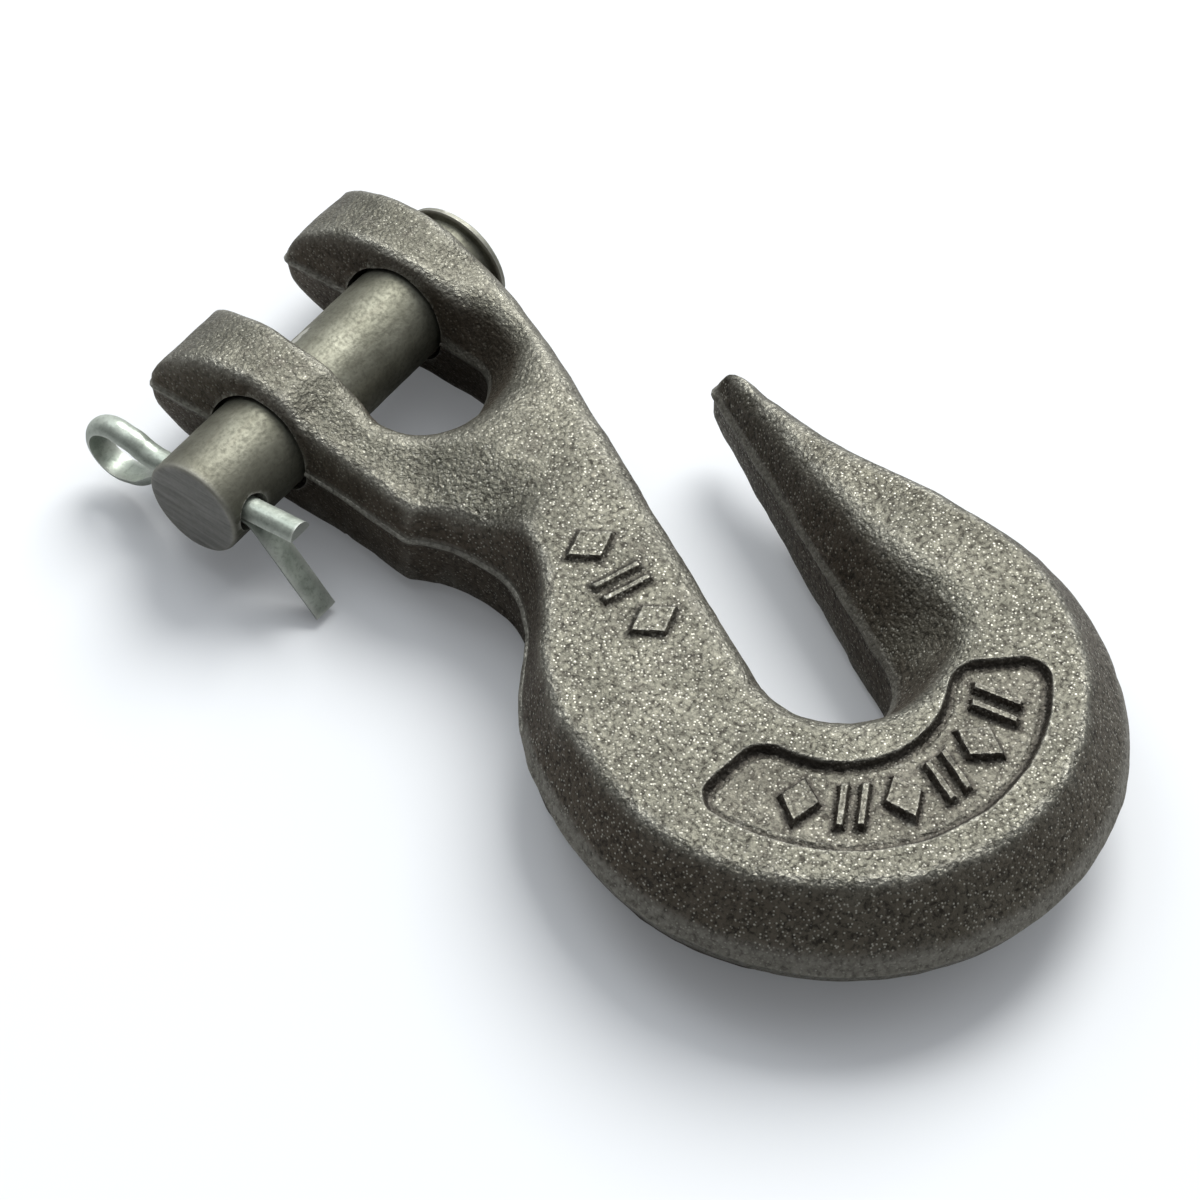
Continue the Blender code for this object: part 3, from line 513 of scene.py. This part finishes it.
def add_grid(loop, forms, spacing, gap, margin, chooser, kept, cells):
    """Adds a staggered grid that stays a margin away from the outline."""
    xs, ys = np.meshgrid(np.arange(-39, 23, spacing), np.arange(-98, 15, spacing * 0.87))
    xs = xs + (np.arange(len(xs)) % 2)[:, None] * spacing / 2
    grid = np.stack([xs.ravel(), ys.ravel()], axis=1)
    if chooser:
        grid = grid[chooser(grid)]
    grid = grid[inside(grid, loop)]
    distance = surface(grid, loop, forms, TOP_DIP)[1]
    add_spaced(grid[distance > margin], gap, kept, cells)


def forging_plan(loop, forms, low_forms):
    """(points, whether each is on the outline, triangles) of the flat plan."""
    count = len(loop)
    kept, cells = [], {}
    add_rings(loop, forms, TOP_DIP, np.ones(count, bool), kept, cells)
    add_rings(loop, low_forms, LOW_DIP, (low_forms != forms).any(axis=1), kept, cells)
    # finer round the marks
    for spacing, gap, margin, chooser in (
        (0.24, 0.24 * 0.8, 2.0, around_marks),
        (0.62, 0.42, 0.9, None),
    ):
        add_grid(loop, forms, spacing, gap, margin, chooser, kept, cells)
    chosen = [Vector(point) for point in [tuple(point) for point in loop] + kept]
    border = [list(range(count))]
    verts, _, faces, originals, _, _ = delaunay_2d_cdt(chosen, [], border, 1, 1e-6)
    flat = np.array([tuple(vert) for vert in verts])
    on_line = np.array([any(i < count for i in ids) for ids in originals])
    return flat, on_line, np.array([face for face in faces if len(face) == 3])


def near_flash(height, flash):
    return 1 - np.clip((height / flash - 1) / 0.3, 0, 1)


def forging_mesh():
    loop, forms, low_forms = outline()
    flat, on_line, triangles = forging_plan(loop, forms, low_forms)
    z, _, flash, ridge = surface(flat, loop, forms, TOP_DIP)
    z_low, _, flash_low, ridge_low = surface(flat, loop, low_forms, LOW_DIP)
    pad = pad_distance(flat[:, 0], flat[:, 1])
    sunk = PAD_DEPTH * soft(pad - 0.35, 0.7)
    groove = 0.22 * bell(pad, 0.75, 0.3)    # the pad's floor is a little deeper along its border
    mark, foot = marks(flat[:, 0], flat[:, 1])
    top = np.maximum(z, 0.02) - sunk - groove + mark * (z > 6.5)
    top = np.where(on_line, 0.0, top)
    low = np.where(on_line, 0.0, -np.maximum(z_low, 0.02))

    # the two faces share the points on the outline
    count, free = len(flat), ~on_line
    index = np.where(on_line, np.arange(count), 0)
    index[free] = count + np.arange(free.sum())
    low_points = np.column_stack([flat, low])[free]
    points = np.concatenate([np.column_stack([flat, top]), low_points]) * MM
    faces = np.concatenate([triangles, index[triangles][:, ::-1]])
    data = bpy.data.meshes.new("hook_forging")
    data.from_pydata(points.tolist(), [], faces.tolist())

    # masks for the material
    none = np.zeros(free.sum())
    # painted shade goes at the foot of the marks and along the pad's border
    foot = np.maximum(foot, bell(pad, 0.55, 0.4))
    masks = {
        "edge": (near_flash(top, flash), near_flash(-low, flash_low)[free]),
        "pad": (soft(pad - 0.2, 0.5), none),
        "hollow_shade": (foot, none),
        # nearness to the top edges, where a highlight is painted
        "ridge": (ridge, ridge_low[free]),
    }
    for name, values in masks.items():
        layer = data.attributes.new(name, "FLOAT", "POINT")
        layer.data.foreach_set("value", np.concatenate(values).astype(np.float32))
    # the first faces belong to the top and have to look up
    if sum(face.normal.z * face.center.z for face in data.polygons[:2000]) < 0:
        data.flip_normals()
    return data


# ================================================================================================
# Mesh helpers
# ================================================================================================
def linked(data, name, location=(0, 0, 0)):
    obj = bpy.data.objects.new(name, data)
    obj.location = location
    bpy.context.scene.collection.objects.link(obj)
    return obj


def mesh_data(mesh, name):
    data = bpy.data.meshes.new(name)
    mesh.to_mesh(data)
    mesh.free()
    return data


def bore(obj, name, placement, radius, length, segments):
    """Cuts a round hole through the object; the hole's axis is the placement's z axis."""
    mesh = bmesh.new()
    bmesh.ops.create_cone(
        mesh, cap_ends=True, segments=segments,
        radius1=radius * MM, radius2=radius * MM, depth=length * MM,
    )
    tool = linked(mesh_data(mesh, name), name)
    tool.matrix_world = placement
    bpy.context.view_layer.update()
    boolean = obj.modifiers.new("bore", "BOOLEAN")
    boolean.operation = "DIFFERENCE"
    boolean.solver = "EXACT"
    boolean.object = tool
    graph = bpy.context.evaluated_depsgraph_get()
    data = bpy.data.meshes.new_from_object(obj.evaluated_get(graph))
    obj.modifiers.clear()
    old = obj.data
    obj.data = data
    bpy.data.meshes.remove(old)
    bpy.data.objects.remove(tool, do_unlink=True)


def roughened(data, layers, box=None):
    """Moves vertices inwards by layers of noise, (wavelength, depth), and keeps them in a box."""
    count = len(data.vertices)
    places = np.empty(count * 3)
    data.vertices.foreach_get("co", places)
    places = places.reshape(-1, 3)
    normals = np.empty(count * 3)
    data.vertex_normals.foreach_get("vector", normals)
    normals = normals.reshape(-1, 3)
    depth = np.zeros(count)
    for k, (wavelength, size) in enumerate(layers):
        scale = 1 / (wavelength * MM)
        shift = Vector((13.1 * k, 7.7 * k, 3.3 * k))
        values = np.array([noise.noise(Vector(place) * scale + shift) for place in places])
        depth += size * (0.5 + 0.5 * np.clip(values * 1.6, -1, 1))
    places -= normals * depth[:, None] * MM
    if box is not None:
        low, high = box
        places = np.clip(places, np.array(low), np.array(high))
    data.vertices.foreach_set("co", places.ravel())
    data.update()


def piece_box(name):
    """Low and high corners of a CAD piece, from the middle of the gap."""
    return [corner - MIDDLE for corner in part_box(name)]


def finish_piece(obj, cad_piece, material, sharp_degrees):
    obj.data.shade_smooth()
    obj.data.set_sharp_from_angle(angle=math.radians(sharp_degrees))
    obj.data.materials.clear()    # boring may leave an empty slot
    obj.data.materials.append(material)
    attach(obj, cad_piece)
    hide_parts(cad_piece)


# ================================================================================================
# Clevis pin
# ================================================================================================
# Small burr round the sawn end: (distance from the end, depth below the shank's radius)
PIN_BURR = [(0.02, 0.42), (0.05, 0.3), (0.14, 0.16), (0.3, 0.06), (0.5, 0.01)]
# Underside and rim of the head: (distance from the underside, depth below the head's radius)
HEAD_EDGE = [(0, 0.45), (0.06, 0.2), (0.2, 0.03), (0.4, 0), (HEAD_RIM, 0)]


def pin_profile():
    """(x, radius): sawn end with a burr, shank, low domed head."""
    points = [(PIN_END_X, 0)] + [(PIN_END_X, r) for r in np.arange(0.5, PIN_R - 0.55, 0.5)]
    points += [(PIN_END_X + along, PIN_R - inset) for along, inset in PIN_BURR]
    points += [(x, PIN_R) for x in np.arange(PIN_END_X + 0.75, HEAD_X - 0.2, 0.55)]
    points += [(HEAD_X - 0.05, PIN_R), (HEAD_X, PIN_R + 0.08)]
    points += [(HEAD_X + along, HEAD_R - inset) for along, inset in HEAD_EDGE]
    for k in range(1, 11):
        angle = math.pi / 2 * k / 10
        x = HEAD_X + HEAD_RIM + (HEAD_T - HEAD_RIM) * math.sin(angle)
        points.append((x, HEAD_FLAT_R + (HEAD_R - HEAD_FLAT_R) * math.cos(angle)))
    points += [(HEAD_X + HEAD_T, r) for r in np.arange(HEAD_FLAT_R - 0.5, 0.4, -0.5)]
    return points + [(HEAD_X + HEAD_T, 0)]


def turned(profile, segments):
    """Solid of revolution round the x axis; a zero radius makes a single point."""
    mesh = bmesh.new()
    angles = [2 * math.pi * k / segments for k in range(segments)]
    rings = []
    for x, r in profile:
        if r < 1e-6:
            rings.append([mesh.verts.new((x * MM, 0, 0))])
        else:
            rings.append([
                mesh.verts.new((x * MM, r * MM * math.cos(angle), r * MM * math.sin(angle)))
                for angle in angles
            ])
    for ring, after in zip(rings, rings[1:]):
        for k in range(segments):
            following = (k + 1) % segments
            if len(ring) == 1:
                mesh.faces.new((ring[0], after[k], after[following]))
            elif len(after) == 1:
                mesh.faces.new((ring[k], after[0], ring[following]))
            else:
                mesh.faces.new((ring[k], after[k], after[following], ring[following]))
    bmesh.ops.recalc_face_normals(mesh, faces=mesh.faces)
    return mesh_data(mesh, "turned")


# ================================================================================================
# Split pin: half-round wire folded round an eye, before it is tilted about x
# ================================================================================================
# Short upper leg: (y, height above half the split)
UPPER_LEG = [
    (SHORT_LEG_END, 0.3), (-10.0, 0.22), (-8.0, 0.12), (-6.0, 0.03), (-4.0, 0),
    (0.0, 0), (4.0, 0), (6.4, 0), (7.8, 0.05), (9.2, 0.4), (10.4, 0.95),
]
# Long lower leg from the eye: (y, z), then (y, depth below half the split)
EYE_FOOT = [(10.3, -3.35), (9.0, -2.3), (7.8, -1.2)]
LOWER_LEG = [(6.7, 0.35), (5.6, 0), (4.0, 0), (0.0, 0), (-4.0, 0), (-5.3, 0.01), (-6.2, 0.3)]


def cotter_path():
    """(y, z) of the wire's flat side, from the short leg's end to the long leg's."""
    path = [(y, LEG_SPLIT + rise) for y, rise in UPPER_LEG]
    for k in range(13):
        angle = math.radians(112 - 224 * k / 12)
        path.append((EYE_U + EYE_LONG * math.cos(angle), EYE_DROP + EYE_TALL * math.sin(angle)))
    path += EYE_FOOT + [(y, -LEG_SPLIT - drop) for y, drop in LOWER_LEG]
    bend, last = np.array(LONG_LEG_BEND), np.array(LONG_LEG_END)
    return path + [tuple(bend + (last - bend) * t) for t in (0.0, 0.15, 0.4, 0.7, 1.0)]


def cotter_section():
    """(x, height above the flat side) round the wire's section."""
    round_points, flat_parts = 15, 6
    section = []
    for k in range(round_points):
        angle = math.pi * (k + 0.35) / (round_points - 0.3)
        height = max((WIRE_R - LEG_SPLIT) * math.sin(angle), 0.0)
        section.append((WIRE_R * math.cos(angle) * 0.985, height))
    for k in range(1, flat_parts):
        section.append((WIRE_R * 0.93 * (-1 + 2 * k / flat_parts), 0.004))
    return section


def cotter_mesh():
    knots = cotter_path()
    path = through(knots, COTTER_STEP) + [np.array(knots[-1])]
    section = cotter_section()
    mesh = bmesh.new()
    rings = []
    for k, place in enumerate(path):
        ahead = path[min(k + 1, len(path) - 1)] - path[max(k - 1, 0)]
        ahead = ahead / np.linalg.norm(ahead)
        out = np.array([-ahead[1], ahead[0]])
        ring = []
        for x, height in section:
            y, z = place + out * height
            ring.append(mesh.verts.new((x * MM, y * MM, z * MM)))
        rings.append(ring)
    for ring, after in zip(rings, rings[1:]):
        for k in range(len(section)):
            following = (k + 1) % len(section)
            mesh.faces.new((ring[k], ring[following], after[following], after[k]))
    for ring in (rings[0], rings[-1]):
        mesh.faces.new(ring)
    bmesh.ops.recalc_face_normals(mesh, faces=mesh.faces)
    bmesh.ops.triangulate(mesh, faces=[face for face in mesh.faces if len(face.verts) > 4])
    return mesh_data(mesh, "cotter")


# ================================================================================================
# Materials
# ================================================================================================
class Nodes:
    """A material and short names for building its node tree."""

    def __init__(self, name):
        self.material = bpy.data.materials.new(name)
        self.material.use_nodes = True
        self.tree = self.material.node_tree
        self.shader = self.tree.nodes["Principled BSDF"]

    @cached_property
    def place(self):
        return self.add("ShaderNodeTexCoord").outputs["Object"]

    def add(self, kind, inputs=None, **settings):
        node = self.tree.nodes.new(kind)
        for key, value in settings.items():
            setattr(node, key, value)
        self.fill(node, inputs or {})
        return node

    def fill(self, node, inputs):
        """Links or sets inputs, given by name or number."""
        for key, value in inputs.items():
            socket = node.inputs[key]
            if hasattr(value, "is_linked"):
                self.tree.links.new(value, socket)
            elif isinstance(value, tuple) and len(value) == 3 and socket.type == "RGBA":
                socket.default_value = (*value, 1)
            else:
                socket.default_value = value

    def noise(self, scale, detail, rough=0.6, stretch=None, distortion=0.0):
        where = self.place
        if stretch:
            inputs = {"Vector": where, "Scale": stretch}
            where = self.add("ShaderNodeMapping", inputs).outputs["Vector"]
        inputs = {"Vector": where, "Scale": scale, "Detail": detail}
        inputs |= {"Roughness": rough, "Distortion": distortion}
        return self.add("ShaderNodeTexNoise", inputs).outputs["Fac"]

    def cells(self, scale):
        inputs = {"Vector": self.place, "Scale": scale}
        return self.add("ShaderNodeTexVoronoi", inputs).outputs["Distance"]

    def span(self, value, over, to=(0.0, 1.0), smooth=False):
        """Maps one range of a value to another, and clamps it."""
        inputs = {"Value": value, "From Min": over[0], "From Max": over[1]}
        inputs |= {"To Min": to[0], "To Max": to[1]}
        kind = "SMOOTHSTEP" if smooth else "LINEAR"
        return self.add("ShaderNodeMapRange", inputs, interpolation_type=kind).outputs["Result"]

    def calc(self, operation, a, b=0.0, clamp=False):
        inputs = {0: a, 1: b}
        node = self.add("ShaderNodeMath", inputs, operation=operation, use_clamp=clamp)
        return node.outputs[0]

    def times(self, a, b):
        return self.calc("MULTIPLY", a, b)

    def mix(self, factor, a, b):
        inputs = {"Factor": factor, 6: a, 7: b}    # 6 and 7 are the colour inputs
        return self.add("ShaderNodeMix", inputs, data_type="RGBA").outputs[2]

    def painted(self, colour, *coats):
        """Lays coats of (mask, colour) over a colour, one after another."""
        for mask, coat in coats:
            colour = self.mix(mask, colour, coat)
        return colour

    def attribute(self, name):
        return self.add("ShaderNodeAttribute", attribute_name=name).outputs["Fac"]

    def geometry(self, output):
        return self.add("ShaderNodeNewGeometry").outputs[output]

    def axes(self, vector):
        return self.add("ShaderNodeSeparateXYZ", {0: vector}).outputs

    def bumps(self, *layers):
        """Stacks bump layers of (height, depth in millimetres, strength)."""
        normal = None
        for height, depth, strength in layers:
            inputs = {"Height": height, "Distance": depth * MM, "Strength": strength}
            if normal is not None:
                inputs["Normal"] = normal
            normal = self.add("ShaderNodeBump", inputs).outputs["Normal"]
        return normal

    def finish(self, colour, metallic, roughness, normal, shown):
        """Fills the shader; shown is the viewport's colour."""
        inputs = {"Base Color": colour, "Metallic": metallic}
        self.fill(self.shader, inputs | {"Roughness": roughness, "Normal": normal})
        self.material.diffuse_color = (*shown, 1)
        return self.material


def forged_material():
    mat = Nodes("forged_steel_finish")
    times, span = mat.times, mat.span
    upright = mat.calc("ABSOLUTE", mat.axes(mat.geometry("Normal"))[2])
    steep = span(upright, over=(0.35, 0.92), to=(1.0, 0.0), smooth=True)
    blotch = mat.noise(scale=110, detail=4)
    patch = mat.noise(scale=330, detail=4)
    grain = mat.noise(scale=1650, detail=4, rough=0.62, distortion=0.4)
    fine = mat.noise(scale=4600, detail=2)
    glint = mat.cells(scale=2300)
    ridge_breaks = span(mat.noise(scale=420, detail=3), over=(0.38, 0.60))
    ridge = times(mat.attribute("ridge"), ridge_breaks)
    convex_edge = span(mat.geometry("Pointiness"), over=(0.505, 0.56))
    hollow_shade = span(mat.geometry("Pointiness"), over=(0.40, 0.49), to=(1.0, 0.0))
    x, y, _ = mat.axes(mat.place)
    # less speckle on the ears than on the bowl
    speckle = span(y, over=(-0.036, -0.012), to=(0.92, 0.42), smooth=True)
    # mask of the tip arm, where shade is painted
    arm = times(
        span(x, over=(0.008, 0.018), smooth=True), span(y, over=(-0.090, -0.058), smooth=True)
    )
    arm = times(arm, span(y, over=(-0.024, -0.030), smooth=True))

    even = span(blotch, over=(0.35, 0.65))
    base = mat.mix(even, (0.104, 0.102, 0.082), (0.168, 0.164, 0.133))
    uneven = span(patch, over=(0.3, 0.7))
    wall_shade = mat.mix(uneven, (0.066, 0.050, 0.036), (0.112, 0.090, 0.067))
    dark_grain = span(grain, over=(0.36, 0.52), to=(0.85, 0.0))
    painted_glints = span(glint, over=(0.05, 0.32), to=(0.75, 0.0))
    edge_wear = span(grain, over=(0.3, 0.6), to=(0.35, 0.9))
    edge_highlight_breaks = span(fine, over=(0.35, 0.6), to=(0.25, 0.8))
    ridge_highlight_breaks = span(grain, over=(0.36, 0.58), to=(0.15, 0.85))
    colour = mat.painted(
        base,
        (times(steep, 0.8), wall_shade),                                             # painted shade: the walls darker and browner than the top faces
        (span(patch, over=(0.56, 0.72), to=(0.0, 0.45)), (0.062, 0.054, 0.044)),  # dark patches
        (times(arm, 0.5), (0.066, 0.062, 0.048)),                               # painted shade: the tip arm darker
        (times(speckle, dark_grain), (0.022, 0.019, 0.015)),
        # painted glints: bright flecks in the colour
        (times(speckle, painted_glints), (0.66, 0.65, 0.57)),
        (times(mat.attribute("edge"), edge_wear), (0.25, 0.245, 0.215)),        # flash
        # painted highlight along the convex edges
        (times(convex_edge, edge_highlight_breaks), (0.36, 0.355, 0.31)),
        (times(ridge, ridge_highlight_breaks), (0.30, 0.295, 0.255)),                       # painted highlight along the top edges
        # painted shade in creases and hollows
        (times(hollow_shade, 0.75), (0.028, 0.024, 0.020)),
        (times(mat.attribute("hollow_shade"), 0.72), (0.024, 0.021, 0.018)),          # painted shade at the foot of the marks and along the pad's border
        (times(mat.attribute("pad"), 0.25), (0.08, 0.072, 0.062)),
    )
    grain_rough = span(grain, over=(0.3, 0.7), to=(0.50, 0.30))
    glint_rough = span(glint, over=(0.0, 0.3), to=(-0.12, 0.06))
    rough = mat.calc("ADD", grain_rough, glint_rough, clamp=True)
    rough = mat.calc("SUBTRACT", rough, times(ridge, 0.12), clamp=True)
    rough = mat.calc("ADD", rough, times(steep, 0.12), clamp=True)
    normal = mat.bumps(
        (blotch, 0.25, 0.5), (patch, 0.16, 0.7), (grain, 0.24, 1.0),
        (glint, 0.08, 0.9), (fine, 0.022, 0.7),
    )
    metallic = span(patch, over=(0.3, 0.7), to=(0.96, 0.80))
    return mat.finish(colour, metallic, rough, normal, shown=(0.13, 0.12, 0.105))


def pin_material():
    mat = Nodes("pin_steel_finish")
    times, span = mat.times, mat.span
    x = mat.axes(mat.place)[0]
    end_face = ((PIN_END_X + 0.05) * MM, (PIN_END_X + 0.15) * MM)
    end = span(x, over=end_face, to=(1.0, 0.0))
    drawn = mat.noise(scale=900, detail=3, stretch=(0.12, 1.0, 1.0))
    blotch = mat.noise(scale=260, detail=4)
    grain = mat.noise(scale=2100, detail=3)
    fine = mat.noise(scale=5200, detail=2)
    sawn = mat.noise(scale=1500, detail=2, stretch=(1.0, 0.12, 1.6))
    convex_edge = span(mat.geometry("Pointiness"), over=(0.505, 0.57))
    even = span(blotch, over=(0.35, 0.65))
    base = mat.mix(even, (0.140, 0.140, 0.108), (0.215, 0.216, 0.172))
    sawn_mix = span(sawn, over=(0.3, 0.7))
    sawn_face = mat.mix(sawn_mix, (0.205, 0.206, 0.194), (0.295, 0.297, 0.280))
    end_shade = span(x, over=(-25.0 * MM, -14.0 * MM), to=(0.34, 0.0), smooth=True)
    colour = mat.painted(
        base,
        (span(grain, over=(0.36, 0.52), to=(0.3, 0.0)), (0.065, 0.062, 0.050)),
        (span(drawn, over=(0.55, 0.75), to=(0.0, 0.45)), (0.105, 0.096, 0.074)),  # lengthwise
        # painted shade: the pin darker towards its sawn end
        (end_shade, (0.078, 0.075, 0.058)),
        (end, sawn_face),
        (times(convex_edge, 0.75), (0.55, 0.55, 0.50)),
    )
    rough = span(grain, over=(0.3, 0.7), to=(0.62, 0.48))
    rough = mat.calc("ADD", rough, times(end, 0.14), clamp=True)
    normal = mat.bumps(
        (blotch, 0.12, 0.5), (drawn, 0.05, 0.6), (grain, 0.04, 0.8), (fine, 0.012, 0.6)
    )
    return mat.finish(colour, 0.82, rough, normal, shown=(0.28, 0.28, 0.24))


def zinc_material():
    mat = Nodes("zinc_plate_finish")
    span = mat.span
    blotch = mat.noise(scale=420, detail=4)
    grain = mat.noise(scale=2600, detail=3)
    scratch = mat.noise(scale=2400, detail=2, stretch=(1.0, 0.15, 1.0))
    convex_edge = span(mat.geometry("Pointiness"), over=(0.51, 0.58))
    even = span(blotch, over=(0.35, 0.65))
    colour = mat.painted(
        mat.mix(even, (0.27, 0.31, 0.265), (0.42, 0.465, 0.41)),
        (span(grain, over=(0.36, 0.5), to=(0.4, 0.0)), (0.16, 0.18, 0.155)),
        (mat.times(convex_edge, 0.5), (0.72, 0.75, 0.70)),
    )
    rough = span(blotch, over=(0.3, 0.7), to=(0.30, 0.46))
    normal = mat.bumps((scratch, 0.03, 0.6), (grain, 0.025, 0.7))
    return mat.finish(colour, 0.55, rough, normal, shown=(0.5, 0.54, 0.5))


def floor_material():
    mat = Nodes("floor_paper")
    mat.fill(mat.shader, {
        "Base Color": (0.62, 0.64, 0.66),
        "Roughness": 0.9,
        "Specular IOR Level": 0.1,
        # painted light: the floor glows a little, which lifts its shadows
        "Emission Color": (0.94, 0.97, 1.0),
        "Emission Strength": 0.10,
    })
    # what the object mirrors of the floor is darker than the floor the camera sees
    dim = mat.add("ShaderNodeBsdfDiffuse", {"Color": (0.44, 0.445, 0.45)})
    seen = mat.add("ShaderNodeLightPath").outputs["Is Camera Ray"]
    either = mat.add("ShaderNodeMixShader", {0: seen, 1: dim.outputs[0], 2: mat.shader.outputs[0]})
    mat.fill(mat.tree.nodes["Material Output"], {"Surface": either.outputs[0]})
    return mat.material


# ================================================================================================
# Stage, light and camera, in metres
# ================================================================================================
STAGE_X, STAGE_Y, FLOOR_Z = 0.02, -0.03, -0.0094
FLOOR_SIZE = 3.0

# The sky is brightest overhead towards +x, away from the camera: (place on the ramp, colour)
SKY_WAY = (0.58, 0.22, 0.78)
SKY_STOPS = [
    (0.0, (0.16, 0.16, 0.165)), (0.45, (0.34, 0.345, 0.36)),
    (0.75, (0.85, 0.87, 0.9)), (1.0, (1.25, 1.27, 1.3)),
]

CAMERA_PLACE, CAMERA_TARGET = (-0.19124, -0.17509, 0.32401), (0.01682, -0.04023, 0)
CAMERA_RIGHT = (0.5923, -0.8044, 0.0456)


def build_stage():
    mesh = bmesh.new()
    bmesh.ops.create_grid(mesh, x_segments=2, y_segments=2, size=FLOOR_SIZE)
    floor = linked(mesh_data(mesh, "floor"), "floor", (STAGE_X, STAGE_Y, FLOOR_Z))
    floor.data.materials.append(floor_material())


def build_world():
    world = bpy.data.worlds.new("studio")
    bpy.context.scene.world = world
    world.use_nodes = True
    tree = world.node_tree
    background = tree.nodes["Background"]
    place = tree.nodes.new("ShaderNodeTexCoord")
    dot = tree.nodes.new("ShaderNodeVectorMath")
    dot.operation = "DOT_PRODUCT"
    tree.links.new(place.outputs["Generated"], dot.inputs[0])
    dot.inputs[1].default_value = Vector(SKY_WAY).normalized()
    ramp = tree.nodes.new("ShaderNodeValToRGB")
    tree.links.new(dot.outputs["Value"], ramp.inputs[0])
    stops = ramp.color_ramp.elements    # starts with stops at 0 and 1
    for position, _ in SKY_STOPS[1:-1]:
        stops.new(position)
    for stop, (_, colour) in zip(stops, SKY_STOPS):
        stop.color = (*colour, 1)
    tree.links.new(ramp.outputs[0], background.inputs["Color"])
    background.inputs["Strength"].default_value = 1.0


def area_light(name, direction, distance, size, power, colour):
    """A round lamp aimed at the middle of the stage."""
    light = bpy.data.lights.new(name, "AREA")
    light.shape = "DISK"
    light.size = size
    light.energy = power
    light.color = colour
    way = Vector(direction).normalized()
    obj = linked(light, name, Vector((STAGE_X, STAGE_Y, 0)) + way * distance)
    obj.rotation_euler = way.to_track_quat("Z", "Y").to_euler()


def build_lights():
    area_light(
        "key", direction=(0.95, 0.28, 1.12), distance=1.5, size=0.95, power=26.0,
        colour=(1.0, 0.99, 0.965),
    )
    area_light(
        "top", direction=(0.1, 0.75, 0.9), distance=1.2, size=0.6, power=2.2,
        colour=(0.95, 0.98, 1.0),
    )


def build_camera():
    camera = bpy.data.cameras.new("camera")
    camera.lens = 119.5
    camera.sensor_width = 36
    camera.clip_start = 0.01
    place = Vector(CAMERA_PLACE)
    back = (place - Vector(CAMERA_TARGET)).normalized()
    right = Vector(CAMERA_RIGHT)
    right = (right - back * right.dot(back)).normalized()
    turn = Matrix((right, back.cross(right), back)).transposed().to_4x4()
    obj = linked(camera, "camera")
    obj.matrix_world = Matrix.Translation(place) @ turn
    bpy.context.scene.camera = obj


# ================================================================================================
# Pieces
# ================================================================================================
def build_forging():
    forging = linked(forging_mesh(), "hook_forging", MIDDLE)
    placement = Matrix.Translation(MIDDLE) @ Matrix.Rotation(math.pi / 2, 4, "Y")
    bore(forging, "pin_hole", placement, radius=PIN_HOLE_R, length=60, segments=PIN_SEGMENTS)
    roughened(forging.data, [(9.0, 0.16), (3.4, 0.15), (1.5, 0.075)], piece_box("hook_body"))
    finish_piece(forging, "hook_body", forged_material(), sharp_degrees=50)


def build_pin():
    pin = linked(turned(pin_profile(), PIN_SEGMENTS), "clevis_pin_fine", MIDDLE)
    placement = Matrix.Translation(MIDDLE + Vector((CROSS_X * MM, 0, 0)))
    placement = placement @ Matrix.Rotation(COTTER_TILT - math.pi / 2, 4, "X")
    bore(pin, "cross_hole", placement, radius=CROSS_R, length=40, segments=CROSS_SEGMENTS)
    roughened(pin.data, [(5.0, 0.05), (1.6, 0.035)], piece_box("clevis_pin"))
    finish_piece(pin, "clevis_pin", pin_material(), sharp_degrees=38)


def build_cotter():
    cotter = linked(cotter_mesh(), "split_pin", (MIDDLE.x + CROSS_X * MM, 0, 0))
    cotter.data.transform(Matrix.Rotation(COTTER_TILT, 4, "X"))
    roughened(cotter.data, [(2.4, 0.03), (0.9, 0.015)])
    finish_piece(cotter, "cotter_pin", zinc_material(), sharp_degrees=45)


def main():
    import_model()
    build_forging()
    build_pin()
    build_cotter()
    build_stage()
    build_world()
    build_lights()
    build_camera()
    bpy.context.scene.view_settings.view_transform = "Standard"
    bpy.context.scene.view_settings.look = "None"

    bpy.context.view_layer.update()


main()
